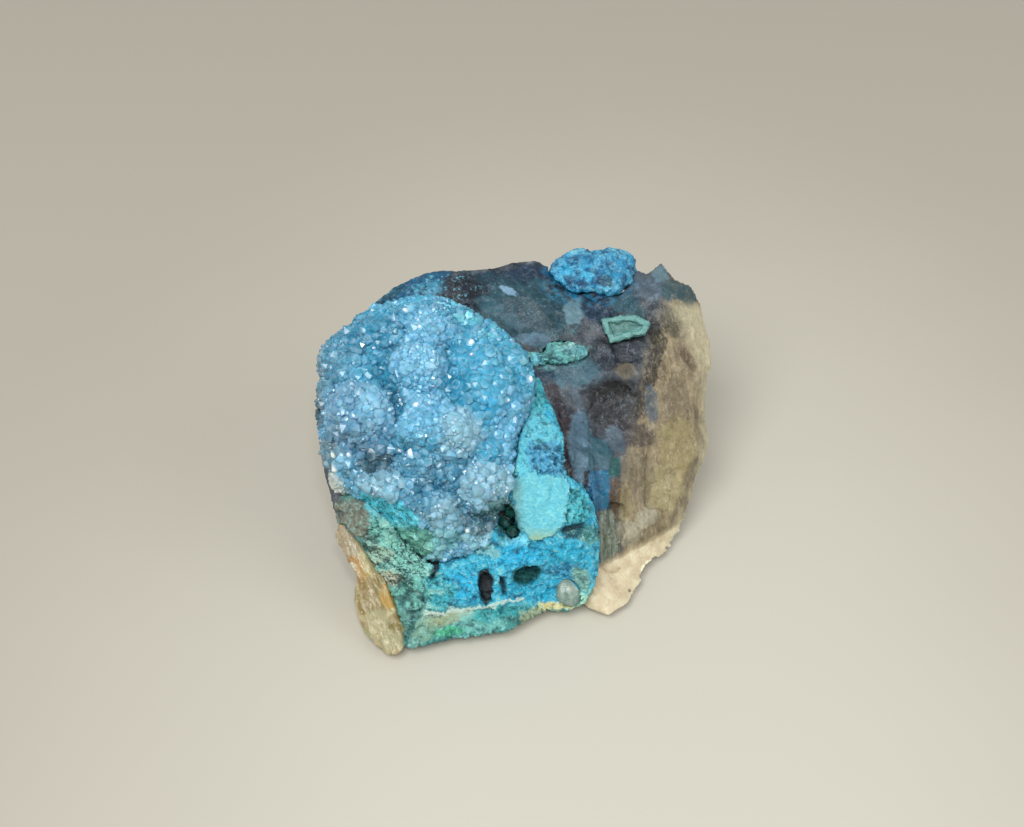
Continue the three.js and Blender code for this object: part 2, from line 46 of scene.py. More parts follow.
def onFace(x, u, n):
    lean = face["lean"]
    place = Vector((x, u * cos(lean) - n * sin(lean), u * sin(lean) + n * cos(lean)))
    return (place + Vector(face["origin"])) * mm


print("frame loaded:", len(nodes), "nodes")


# Node trees. A Wire is a socket that can stand in a sum, and graph.add makes any other node.


class Wire:
    def __init__(self, graph, socket):
        self.graph = graph
        self.socket = socket

    def math(self, operation, *values):
        return self.graph.add("ShaderNodeMath", {"operation": operation}, dict(enumerate(values)))

    def __add__(self, other):
        return self.math("ADD", self, other)

    def __sub__(self, other):
        return self.math("SUBTRACT", self, other)

    def __mul__(self, other):
        return self.math("MULTIPLY", self, other)

    def __pow__(self, other):
        return self.math("POWER", self, other)

    def __radd__(self, other):
        return self.math("ADD", other, self)

    def __rsub__(self, other):
        return self.math("SUBTRACT", other, self)

    def __rmul__(self, other):
        return self.math("MULTIPLY", other, self)

    def __abs__(self):
        return self.math("ABSOLUTE", self)

    def atLeast(self, other):
        return self.math("MAXIMUM", self, other)

    def atMost(self, other):
        return self.math("MINIMUM", self, other)

    # 0 below low, 1 above high and a smooth rise between them; low may be the larger one
    def rise(self, low, high):
        if low > high:
            return 1.0 - self.rise(high, low)
        return self.graph.add(
            "ShaderNodeMapRange",
            {"interpolation_type": "SMOOTHSTEP"},
            {"Value": self, "From Min": low, "From Max": high},
        )

    def vector(self, operation, *values, output=0):
        sockets = dict(enumerate((self,) + values))
        return self.graph.add("ShaderNodeVectorMath", {"operation": operation}, sockets, output)

    def scaled(self, by):
        sockets = {0: self, "Scale": by}
        return self.graph.add("ShaderNodeVectorMath", {"operation": "SCALE"}, sockets)

    def along(self, direction):
        return self.vector("DOT_PRODUCT", direction, output=1)

    def length(self):
        return self.vector("LENGTH", output=1)

    def turned(self, axis, angle):
        return self.graph.add(
            "ShaderNodeVectorRotate", {"rotation_type": axis}, {"Vector": self, "Angle": angle}
        )

    def part(self, name):
        return self.graph.add("ShaderNodeSeparateXYZ", {}, {"Vector": self}, name)


class Graph:
    def __init__(self, tree):
        self.tree = tree

    def add(self, kind, settings, sockets, output=0):
        node = self.tree.nodes.new(kind)
        for name, value in settings.items():
            setattr(node, name, value)
        for name, value in sockets.items():
            if isinstance(value, Wire):
                self.tree.links.new(value.socket, node.inputs[name])
            else:
                node.inputs[name].default_value = value
        return Wire(self, node.outputs[output]) if node.outputs else node

    def blend(self, share, first, second):
        sockets = {0: share, 6: first, 7: second}
        return self.add("ShaderNodeMix", {"data_type": "RGBA"}, sockets, 2)

    # a bump of a real height, in mm
    def bump(self, height):
        return self.add("ShaderNodeBump", {}, {"Distance": mm, "Height": height}, "Normal")

    def stored(self, name, output="Fac"):
        return self.add("ShaderNodeAttribute", {"attribute_name": name}, {}, output)

    # smooth noise from about -1 to 1; size in mm, one number or one for each of x, u and n
    def noise(self, place, size, detail=2.0, shift=0.0):
        if isinstance(size, tuple):
            place = place.vector("DIVIDE", size)
            size = 1.0
        sockets = {"Scale": 1.0 / size, "Detail": detail, "Roughness": 0.55}
        moved = place.vector("ADD", (shift, shift * 0.7, -shift))
        return 3.2 * (self.add("ShaderNodeTexNoise", {}, {"Vector": moved, **sockets}) - 0.5)

    # 1 along thin lines, where a smooth noise crosses its middle, and 0 between them
    def veins(self, place, size, width=0.15, detail=2.0, shift=0.0):
        return abs(self.noise(place, size, detail, shift)).rise(width, 0.0)

    # a noise with sharp crests: 1 on the crests, about -1 in the hollows between them
    def ridges(self, place, size, detail=3.0, shift=0.0):
        return 1.0 - abs(self.noise(place, size, detail, shift)) * 3.0

    # distance to the nearest of scattered points, 0 at the point; size in mm
    def cells(self, place, size):
        return self.add("ShaderNodeTexVoronoi", {}, {"Vector": place, "Scale": 1.0 / size})

    # 1 on small dots, 0 between them
    def specks(self, place, size, reach=0.3):
        return self.cells(place, size).rise(reach, reach * 0.6)

    # the place pushed about by noise, so that what is drawn there has uneven edges
    def wobbled(self, place, size, amount):
        sockets = {"Vector": place, "Scale": 1.0 / size, "Detail": 5.0, "Roughness": 0.68}
        push = self.add("ShaderNodeTexNoise", {}, sockets, "Color")
        return place.vector("ADD", push.vector("SUBTRACT", (0.5, 0.5, 0.5)).scaled(amount))

    # 0 in the middle of an ellipse on the face, 1 on its edge and more outside
    def flatReach(self, place, x, u, halfX, halfU, turn=0.0):
        away = place.vector("SUBTRACT", (x, u, 0.0))
        if turn:
            away = away.turned("Z_AXIS", -radians(turn))
        return away.vector("DIVIDE", (halfX, halfU, 1e6)).length()

    # 1 inside an ellipse on the face, 0 outside
    def spot(self, place, x, u, halfX, halfU, turn=0.0, soft=0.3):
        return self.flatReach(place, x, u, halfX, halfU, turn).rise(1.0 + soft, 1.0 - soft)

    # 1 inside a convex outline on the face, given counterclockwise, 0 outside
    def region(self, place, corners, soft=0.15):
        inside = None
        for start, end in zip(corners, corners[1:] + corners[:1]):
            inward = Vector((start[1] - end[1], end[0] - start[0], 0.0)).normalized()
            across = place.along(inward) - inward.dot(Vector((*start, 0.0)))
            inside = across if inside is None else inside.atMost(across)
        return inside.rise(-soft, soft)

    # 1 along a way over the face, 0 further off than its width
    def path(self, place, way, width):
        near = None
        for start, end in zip(way, way[1:]):
            step = Vector((end[0] - start[0], end[1] - start[1], 0.0))
            away = place.vector("MULTIPLY", (1.0, 1.0, 0.0)).vector("SUBTRACT", (*start, 0.0))
            passed = away.along(step.normalized()).atLeast(0.0).atMost(step.length)
            foot = self.add("ShaderNodeCombineXYZ", {}, {
                "X": passed * step.normalized().x, "Y": passed * step.normalized().y,
            })
            gap = away.vector("SUBTRACT", foot).length()
            near = gap if near is None else near.atMost(gap)
        return near.rise(width, 0.3 * width)

    # a list is an outline, a pair is a way with its width, and the rest is an ellipse
    def shape(self, place, shape, soft):
        if isinstance(shape, list):
            return self.region(place, shape, soft)
        if len(shape) == 2:
            return self.path(place, *shape)
        return self.spot(place, *shape, soft=1.4 * soft)

    # colour with coats of tones laid over it in turn, each with its share
    def coated(self, colour, *coats):
        for share, hue in coats:
            colour = self.blend(share, colour, tone(*hue))
        return colour

    # colour with patches laid over it, each given as its shape, share and tone's name; ragged is
    # a wire around 0 that frays their edges
    def painted(self, place, colour, patches, ragged, soft=0.3):
        for shape, share, hue in patches.values():
            inside = (self.shape(place, shape, soft) + ragged).rise(0.25, 0.75)
            colour = self.coated(colour, (inside * share, palette[hue]))
        return colour


def facePlace(graph, position):
    moved = position.scaled(1.0 / mm).vector("SUBTRACT", face["origin"])
    return moved.turned("X_AXIS", -face["lean"])


# sRGB tones, 0 to 255, that the patches of all the pieces share
palette = {
    # smoky quartz
    "black": (38, 38, 40),
    "soot": (42, 52, 60),
    "navy": (38, 62, 80),
    "slate": (48, 72, 82),
    "petrol": (48, 84, 94),
    "dusk": (70, 106, 120),
    "haze": (88, 104, 116),
    "mist": (88, 116, 134),
    "pale mist": (110, 142, 154),
    "ice": (130, 166, 190),
    "ink": (40, 100, 134),
    "deep blue": (40, 110, 140),
    "sea green": (36, 94, 92),
    "plum": (63, 58, 62),
    "rust": (92, 76, 60),
    "umber": (75, 75, 65),
    "tan": (125, 116, 96),
    "olive": (146, 135, 98),
    "pale olive": (160, 150, 112),
    "grey cream": (166, 162, 142),
    "lichen": (124, 134, 118),
    # druse
    "lake": (54, 140, 172),
    "steel": (75, 142, 170),
    "dull blue": (76, 122, 150),
    "turquoise": (72, 166, 198),
    "lavender": (108, 160, 190),
    "sky": (108, 182, 216),
    "pale sky": (134, 196, 222),
    "milk": (144, 190, 208),
    "frost": (156, 210, 224),
    "vivid blue": (40, 176, 220),
    "pool": (70, 124, 120),
    "grey stone": (104, 128, 136),
    "ivory": (200, 200, 184),
    "seafoam": (122, 185, 190),
    # turquoise crust
    "bright turquoise": (102, 194, 212),
    "green turquoise": (74, 175, 185),
    "mint": (108, 198, 178),
    "cornflower": (80, 156, 196),
    "pale blue": (130, 225, 250),
    "strong blue": (40, 162, 195),
    "blue shade": (42, 132, 174),
    "verdigris": (115, 182, 172),
    "pale verdigris": (142, 208, 196),
    "pale sage": (162, 188, 168),
    "stone": (184, 180, 156),
    "grey brown": (122, 120, 104),
    "dark green": (50, 72, 70),
    "sage": (122, 158, 135),
    "mint white": (188, 240, 208),
    "straw": (215, 202, 136),
    "moss": (145, 155, 118),
    "teal": (50, 154, 158),
    "leaf": (74, 174, 125),
    # chalcedony
    "rose grey": (164, 152, 128),
    "amber": (168, 128, 66),
    "mustard": (138, 122, 78),
    "honey": (190, 154, 82),
    "pale straw": (172, 166, 130),
}


# the base colour that shows as an sRGB tone once the room's reflections, the haze, lie over it
def tone(red, green, blue, haze=0.022):
    shown = (red, green, blue)
    linear = [((v / 255 + 0.055) / 1.055) ** 2.4 if v > 10 else v / 3295 for v in shown]
    return (*[max(v - haze, 0.3 * v) for v in linear], 1.0)


# colour made lighter or darker by a wire around 0
def shaded(colour, change):
    return colour.scaled((1.0 + change).atLeast(0.15))


# Meshes.


def choose(piece):
    if bpy.context.object and bpy.context.object.mode != "OBJECT":
        bpy.ops.object.mode_set(mode="OBJECT")
    bpy.ops.object.select_all(action="DESELECT")
    piece.select_set(True)
    bpy.context.view_layer.objects.active = piece


def applied(piece, kind, **settings):
    choose(piece)
    modifier = piece.modifiers.new(kind.lower(), kind)
    for name, value in settings.items():
        setattr(modifier, name, value)
    bpy.ops.object.modifier_apply(modifier=modifier.name)


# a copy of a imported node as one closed, evenly meshed skin; grown, in mm, keeps its thin edges
def skinOf(node, name, voxel, smoothing=0, grown=0.0):
    piece = bpy.data.objects.new(name, nodes[node].data.copy())
    bpy.context.scene.collection.objects.link(piece)
    choose(piece)
    bpy.ops.object.mode_set(mode="EDIT")
    bpy.ops.mesh.select_all(action="SELECT")
    bpy.ops.mesh.remove_doubles(threshold=0.002 * mm)
    bpy.ops.object.mode_set(mode="OBJECT")
    if grown:
        applied(piece, "DISPLACE", strength=grown * mm, mid_level=0.0)
    applied(piece, "REMESH", mode="VOXEL", voxel_size=voxel * mm)
    if smoothing:
        applied(piece, "SMOOTH", factor=0.5, iterations=smoothing)
    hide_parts(node)
    return piece


# an empty geometry tree: its graph, the mesh that comes in, and each point's place on the face,
# its normal and how far that turns out of the face
def newTree(name):
    tree = bpy.data.node_groups.new(name, "GeometryNodeTree")
    tree.interface.new_socket("Geometry", in_out="INPUT", socket_type="NodeSocketGeometry")
    tree.interface.new_socket("Geometry", in_out="OUTPUT", socket_type="NodeSocketGeometry")
    graph = Graph(tree)
    mesh = graph.add("NodeGroupInput", {}, {})
    place = facePlace(graph, graph.add("GeometryNodeInputPosition", {}, {}))
    normal = graph.add("GeometryNodeInputNormal", {}, {})
    return graph, mesh, place, normal, normal.turned("X_AXIS", -face["lean"]).part("Z")


def keep(graph, mesh, name, value, kind="FLOAT", domain="POINT"):
    settings = {"data_type": kind, "domain": domain}
    sockets = {"Geometry": mesh, "Name": name, "Value": value}
    return graph.add("GeometryNodeStoreNamedAttribute", settings, sockets)


# lifts a piece's skin by a recipe that returns its height in mm and {attribute: wire}
def shapeSkin(piece, recipe):
    graph, mesh, place, normal, outward = newTree(piece.name + "_relief")
    height, kept = recipe(graph, place, outward)
    for name, value in kept.items():
        mesh = keep(graph, mesh, name, value, "FLOAT_COLOR" if name == "hue" else "FLOAT")
    offset = normal.scaled(height * mm)
    moved = graph.add("GeometryNodeSetPosition", {}, {"Geometry": mesh, "Offset": offset})
    graph.add("NodeGroupOutput", {}, {"Geometry": moved})
    applied(piece, "NODES", node_group=graph.tree)


def finished(piece, material, angle=35):
    piece.data.materials.clear()
    piece.data.materials.append(material)
    choose(piece)
    bpy.ops.object.shade_smooth_by_angle(angle=radians(angle))
    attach(piece, "root")
    print(piece.name, len(piece.data.polygons), "faces")


# a node's skin from first to last: its mesh, its relief and its material
def dress(node, name, slot, plan, relief, finish, grown=0.0):
    piece = skinOf(node, name, plan["voxel"], grown=grown)
    shapeSkin(piece, relief)
    finished(piece, newMaterial(slot.replace("_", " "), finish))


def newMaterial(name, recipe):
    material = bpy.data.materials.new(name)
    material.use_nodes = True
    material.node_tree.nodes.clear()
    graph = Graph(material.node_tree)
    position = graph.add("ShaderNodeTexCoord", {}, {}, "Object")
    recipe(graph, facePlace(graph, position))
    return material


def surface(graph, **sockets):
    shader = graph.add("ShaderNodeBsdfPrincipled", {}, sockets)
    graph.add("ShaderNodeOutputMaterial", {}, {"Surface": shader})


# Smoky quartz flake. Each patch is its shape, how strongly it covers, and its tone's name in the
# palette.

flake = {
    "voxel": 0.24,
    "grown": 0.38,
    "sunk": 0.22,
    "lumps": 0.16,
    "grain": 0.08,
    "streaks": 0.06,
    "steps": 0.25,
    "slitDepth": 0.3,
    "calmBowl": (0.8, 24.0, 5.4, 4.0),
    "knobs": {"at": (15.2, 26.6, 3.0, 3.2), "size": 1.7, "height": 0.7},
    "ribs": {"at": (9.5, 0.6, 1.5, 3.0, -4), "height": 0.3},
    "seeThrough": 0.15,
    "patches": {
        "upper cream": ((17.3, 22.6, 1.9, 1.9), 0.8, "umber"),
        "cream right": ((18.7, 19.6, 1.5, 2.4), 0.8, "tan"),
        "tan top": ((16.9, 14.0, 1.4, 2.6), 0.8, "tan"),
        "olive": ((17.0, 9.7, 2.0, 3.0), 0.8, "olive"),
        "olive low": ((15.6, 5.4, 2.2, 2.2), 0.8, "pale olive"),
        "tan streaks": ((12.8, 6.6, 1.8, 2.6), 0.7, "tan"),
        "brown low": ((11.3, 3.6, 0.9, 2.2), 0.7, "olive"),
        "grey low": ((11.8, 0.9, 1.2, 1.5), 0.7, "grey cream"),
        "top edge": ((0.4, 26.9, 5.6, 0.9, 4), 0.8, "navy"),
        "bowl": ((1.2, 23.4, 5.8, 3.4, -8), 0.8, "petrol"),
        "bowl heart": ((2.7, 23.6, 3.3, 2.2), 0.6, "slate"),
        "bowl low": ((1.2, 21.7, 2.4, 0.9), 0.6, "slate"),
        "bowl left dark": ((-3.6, 25.0, 1.6, 1.6, -30), 0.8, "soot"),
        "haze left": ((-2.2, 24.0, 1.6, 0.8, -20), 0.7, "dusk"),
        "haze middle": ((-0.3, 22.5, 1.8, 0.6, -25), 0.6, "dusk"),
        "haze low": ((2.4, 20.4, 1.9, 0.7, -12), 0.8, "mist"),
        "glint": ((-0.3, 25.4, 1.1, 0.4, -30), 0.9, "ice"),
        "glint tail": (([(0.6, 25.0), (1.9, 24.0)], 0.35), 0.6, "petrol"),
        "top navy": ((2.5, 27.6, 2.6, 0.8, 6), 0.85, "navy"),
        "navy band": ((-10.4, 25.5, 4.6, 1.2, 20), 0.9, "ink"),
        "navy band dark": ((-12.6, 24.9, 2.4, 0.6, 32), 0.7, "petrol"),
        "navy band light": ((-8.0, 25.6, 1.9, 0.7, 10), 0.8, "steel"),
        "speckled dark": ((-5.2, 25.3, 2.1, 1.5, -30), 0.8, "soot"),
        "black spot": ((-4.3, 26.3, 1.3, 0.8, -20), 0.8, "soot"),
        "top grey": ((-2.4, 26.8, 1.4, 0.7), 0.6, "slate"),
        "left middle": ((6.2, 17.2, 3.0, 1.7), 0.8, "dusk"),
        "ridge shade": ((3.3, 17.0, 1.1, 1.4), 0.8, "navy"),
        "pale grey": (
            [(5.7, 22.1), (6.9, 22.0), (7.9, 23.6), (8.0, 24.8), (6.3, 24.8), (5.3, 23.6)],
            0.85, "pale mist",
        ),
        "blue run": (([(3.6, 27.8), (5.0, 26.9), (6.6, 25.4)], 0.9), 0.85, "ink"),
        "navy spot": ((9.0, 23.7, 2.0, 1.5, -20), 0.9, "navy"),
        "knob dark": ((11.6, 24.6, 1.7, 1.2), 0.8, "dusk"),
        "dark teal": ((13.0, 23.4, 1.4, 0.9, -30), 0.8, "petrol"),
        "knob pale": ((14.1, 26.4, 2.2, 1.7), 0.85, "haze"),
        "knob top": ((15.6, 27.6, 0.9, 0.9), 0.7, "pale mist"),
        "green pale": ((17.0, 25.8, 1.4, 1.2), 0.85, "petrol"),
        "green tip": ((18.5, 25.5, 1.3, 1.3), 0.9, "petrol"),
        "centre dark": ((10.6, 19.2, 2.8, 2.0), 0.8, "soot"),
        "plate shade": (([(9.6, 20.3), (13.4, 21.0)], 0.7), 0.6, "black"),
        "tan spot": ((11.6, 17.3, 1.0, 0.9), 0.6, "tan"),
        "dark arc": (([(14.4, 22.6), (15.3, 20.1), (14.0, 16.1)], 1.1), 0.8, "black"),
        "rust arc": (([(17.8, 19.3), (18.8, 17.6)], 0.7), 0.7, "rust"),
        "heart": ((10.7, 13.9, 3.2, 2.5, 10), 0.85, "black"),
        "heart black": ((10.4, 15.3, 2.2, 1.0, 5), 0.8, "black"),
        "brown red": ((12.3, 11.0, 2.4, 1.3, -20), 0.7, "plum"),
        "haze right": ((14.3, 13.9, 0.7, 1.9, 10), 0.7, "haze"),
        "contour dark": (([(4.1, 15.4), (4.9, 13.8), (5.4, 11.8)], 1.0), 0.85, "plum"),
        "haze streak": (([(5.7, 15.9), (6.6, 14.4), (7.2, 13.4)], 0.6), 0.7, "haze"),
        "grey patch": ((10.6, 10.4, 1.0, 1.3, 20), 0.85, "haze"),
        "lens": (
            [(5.6, 9.2), (6.2, 6.6), (7.4, 5.6), (7.6, 8.0), (7.9, 11.3), (7.5, 13.1), (6.1, 12.8)],
            0.9, "mist",
        ),
        "lens pale": (([(6.9, 12.2), (6.7, 9.0)], 0.5), 0.5, "mist"),
        "lens shade": (([(5.2, 12.9), (5.1, 10.2), (5.7, 6.7)], 0.55), 0.85, "plum"),
        "second facet": (
            [(7.5, 7.6), (9.6, 7.3), (10.4, 8.8), (9.7, 10.2), (8.2, 10.6), (7.3, 9.3)],
            0.85, "dusk",
        ),
        "facet edge": (([(7.9, 10.9), (8.0, 7.4)], 0.4), 0.6, "dusk"),
        "blue strip": (
            [(7.7, 7.4), (7.5, 5.0), (8.1, 3.2), (9.8, 3.6), (9.9, 7.3)], 0.95, "ink",
        ),
        "blue depth": ([(8.9, 7.1), (8.9, 3.9), (9.7, 3.7), (9.8, 7.1)], 0.8, "deep blue"),
        "dark slit": (([(7.5, 7.0), (7.1, 5.3)], 0.4), 0.85, "black"),
        "green spot": ((10.3, 7.6, 0.7, 1.0), 0.9, "sea green"),
        "red brown": (
            [(9.9, 6.4), (9.9, 3.4), (10.4, 2.0), (10.9, 2.0), (11.0, 6.2)], 0.85, "rust",
        ),
        "fibres": (
            [(8.1, 3.2), (8.5, 0.6), (8.2, -1.5), (9.4, -2.2), (10.7, -0.8), (10.5, 2.4), (9.7, 3.6)],
            0.9, "lichen",
        ),
        "pale facet": ((13.7, 2.5, 1.2, 0.9, 30), 0.85, "grey cream"),
    },
    "crusty": ([(-15.5, 23.2), (-12.6, 24.8), (-9.0, 26.0), (-4.6, 25.8)], 2.2),
    "capShore": (8.2, 26.2, 4.6, 2.2, 4),
    "ridgeShore": (4.7, 18.7, 3.4, 1.3, 12),
    "ledge": [(17.4, 1.7), (7.2, -2.9), (6.6, -8.0), (24.0, -8.0), (24.0, 4.7)],
    "ledgeLine": ([(7.4, -2.7), (10.8, -1.2), (14.3, 0.3), (17.0, 1.7)], 0.4),
    "thin": {"x": 5.6, "u": 12.4, "halfX": 15.0, "halfU": 20.0},
}


# how far out towards the thin right edge a place is: about 1 on the edge
def flakeReach(graph, place):
    thin = flake["thin"]
    return graph.flatReach(place, thin["x"], thin["u"], thin["halfX"], thin["halfU"])


def flakeRelief(graph, place, outward):
    x = place.part("X")
    rim = flakeReach(graph, place).rise(0.78, 0.95) * x.rise(6.0, 9.0)
    lumps = graph.noise(place, 2.4, 3.0) * flake["lumps"]
    streaks = graph.noise(place, (0.45, 2.6, 0.6), 2.0) * x.rise(9.0, 14.0) * flake["streaks"]
    grain = graph.noise(place, 0.6, 3.0) * flake["grain"]
    calm = graph.spot(place, *flake["calmBowl"])
    knob = (1.0 - graph.cells(place, flake["knobs"]["size"]) * 1.2).atLeast(0.0)
    knobs = graph.spot(place, *flake["knobs"]["at"]) * knob * flake["knobs"]["height"]
    ribs = graph.noise(graph.wobbled(place, 1.0, 0.6), (0.3, 3.0, 1.0), 1.0, 3.0)
    ribs = graph.spot(place, *flake["ribs"]["at"]) * ribs * flake["ribs"]["height"]
    drawn = graph.wobbled(place, 1.4, 1.3)
    steps = graph.shape(drawn, flake["patches"]["lens"][0], 0.15)
    steps = steps + graph.shape(drawn, flake["patches"]["second facet"][0], 0.15) * 0.6
    slits = graph.shape(drawn, flake["patches"]["lens shade"][0], 0.1) * flake["slitDepth"]
    height = (lumps + streaks + grain) * (1.0 - 0.5 * calm)
    height = height + knobs + ribs + steps * flake["steps"] - slits
    height = (height - flake["sunk"]) * (1.0 - 0.9 * rim)
    # how far the skin faces sideways, kept for the painted glow on the thin edge
    edge = graph.add("GeometryNodeBlurAttribute", {"data_type": "FLOAT"}, {
        "Value": outward.rise(0.35, 0.0), "Iterations": 1,
    })
    return height, {"edge": edge}


def flakeFinish(graph, place):
    x = place.part("X")
    u = place.part("Y")
    folded = graph.wobbled(place, 1.6, 2.4)
    cloud = graph.noise(place, 1.5, 5.0)
    marble = graph.noise(folded, 0.9, 4.0, 4.0)
    fine = graph.noise(place, 0.28, 3.0, 1.0)
    leaning = graph.wobbled(place, 2.5, 1.5).turned("Z_AXIS", radians(-6))
    streak = graph.noise(leaning, (0.4, 2.6, 0.9), 3.0, 2.0)
    colour = graph.blend(cloud.rise(-0.8, 0.8), tone(52, 60, 68), tone(98, 104, 110))
    # the tan part, with pale streaks down it; it begins further right the higher up the face
    bend = 10.8 + 0.0078 * (u + 1.0) ** 2.0
    tan = (x - bend + cloud * 0.5 + streak * 0.5).rise(-0.9, 1.2)
    colour = graph.blend(tan, colour, graph.blend(
        (cloud * 0.5 + streak * 0.5).rise(-0.8, 0.8), tone(104, 92, 76), tone(160, 148, 120),
    ))
    drawn = graph.wobbled(place, 1.4, 1.3)
    mottle = graph.noise(folded, 0.6, 5.0, 7.0)
    ragged = marble * 0.3 + mottle * 0.2
    colour = graph.painted(drawn, colour, flake["patches"], ragged, soft=0.4)
    # smoke and pale threads in the dark quartz, pale flecks in the tan
    dark = 1.0 - tan
    smoke = marble.rise(0.1, 0.9) * cloud.rise(-0.3, 0.6)
    colour = shaded(colour, smoke * dark * 0.9)
    soot = marble.rise(-0.2, -0.9) * cloud.rise(0.3, -0.6)
    colour = shaded(colour, soot * dark * -0.6)
    threads = graph.ridges(folded, 1.3, 3.0, 8.0).rise(0.72, 1.0) * cloud.rise(-0.6, 0.3)
    flecks = graph.ridges(leaning, (0.5, 1.6, 0.8), 2.0, 5.0).rise(0.8, 1.0) * tan
    dust = graph.specks(graph.wobbled(place, 0.6, 0.6), 0.5, 0.16) * marble.rise(-0.2, 0.5)
    # turquoise and black specks along the top left edge, blue ones round the crusts' feet, and painted
    # shade in dark specks round the cap's foot
    crusty = graph.path(drawn, *flake["crusty"])
    speck = graph.noise(graph.wobbled(place, 0.8, 0.8), 0.45, 4.0, 7.0)
    ridgeShore = graph.spot(drawn, *flake["ridgeShore"])
    capShore = graph.spot(drawn, *flake["capShore"])
    grit = speck + mottle
    bowl = graph.spot(drawn, *flake["patches"]["bowl"][0])
    colour = graph.coated(
        colour,
        (threads * dark * 0.35, (134, 150, 162)),
        (flecks * 0.4, (190, 180, 158)),
        (dust * 0.4, (176, 186, 188)),
        (crusty * speck.rise(0.2, 0.5) * 0.75, (112, 182, 202)),
        (crusty * speck.rise(-0.15, -0.45) * 0.85, (10, 28, 42)),
        (ridgeShore * grit.rise(0.0, 0.5) * 0.8, (104, 176, 176)),
        (capShore * grit.rise(-0.2, 0.5) * 0.8, (52, 128, 166)),
        (capShore * grit.rise(-0.2, -0.7) * 0.8, (16, 40, 60)),
        (bowl * mottle.rise(0.4, 1.2) * 0.4, (136, 164, 184)),
    )
    colour = shaded(colour, mottle.rise(-0.2, -1.0) * dark * -0.5)
    fibres = graph.shape(drawn, flake["patches"]["fibres"][0], 0.2)
    hairs = graph.noise(graph.wobbled(place, 1.0, 0.6), (0.2, 2.2, 0.6), 2.0, 5.0)
    colour = shaded(colour, fibres * hairs * 0.6)
    torn = graph.wobbled(place, 1.0, 0.9)
    # the pale cream below the ledge: partly the thin quartz's own colour, partly painted glow of light
    # coming through it
    below = graph.region(torn, flake["ledge"], 0.35)
    cream = graph.blend(cloud.rise(-0.6, 0.8), tone(206, 188, 156), tone(232, 223, 190))
    colour = graph.blend(below * 0.95, colour, cream)
    # painted glow of light through the thin right edge: paler towards it and near white on its
    # outermost line
    reach = flakeReach(graph, place) + cloud * 0.03
    border = reach.rise(0.88, 1.03) * x.rise(9.0, 13.0) * (1.0 - u.rise(23.5, 25.0))
    bright = graph.stored("edge") * x.rise(11.0, 13.5) * (1.0 - u.rise(22.5, 24.5))
    colour = graph.coated(
        colour,
        (graph.path(torn, *flake["ledgeLine"]) * 0.45, (158, 144, 114)),
        (border * 0.8, (212, 204, 172)),
        (bright.rise(0.3, 0.9) * 0.85, (244, 240, 206)),
    )
    change = marble * 0.26 + cloud * 0.12 + streak * tan * 0.16 + fine * 0.17
    colour = shaded(colour, change * (1.0 - (below + bright * 0.7).atMost(1.0) * 0.7))
    surface(graph, **{
        "Base Color": colour,
        "Roughness": 0.32 + 0.15 * marble,
        "IOR": quartzIor,
        "Specular IOR Level": 0.3,
        "Transmission Weight": flake["seeThrough"],
        "Normal": graph.bump(marble * 0.05 + fine * 0.02),
    })


dress("smoky_quartz_flake", "smoky_flake_skin", "smoky_quartz", flake, flakeRelief, flakeFinish,
      flake["grown"])


# Drusy dome: a lumpy blue body with small quartz points standing all over it. The body's tones are
# kept on its mesh, and the points take theirs from where they stand.

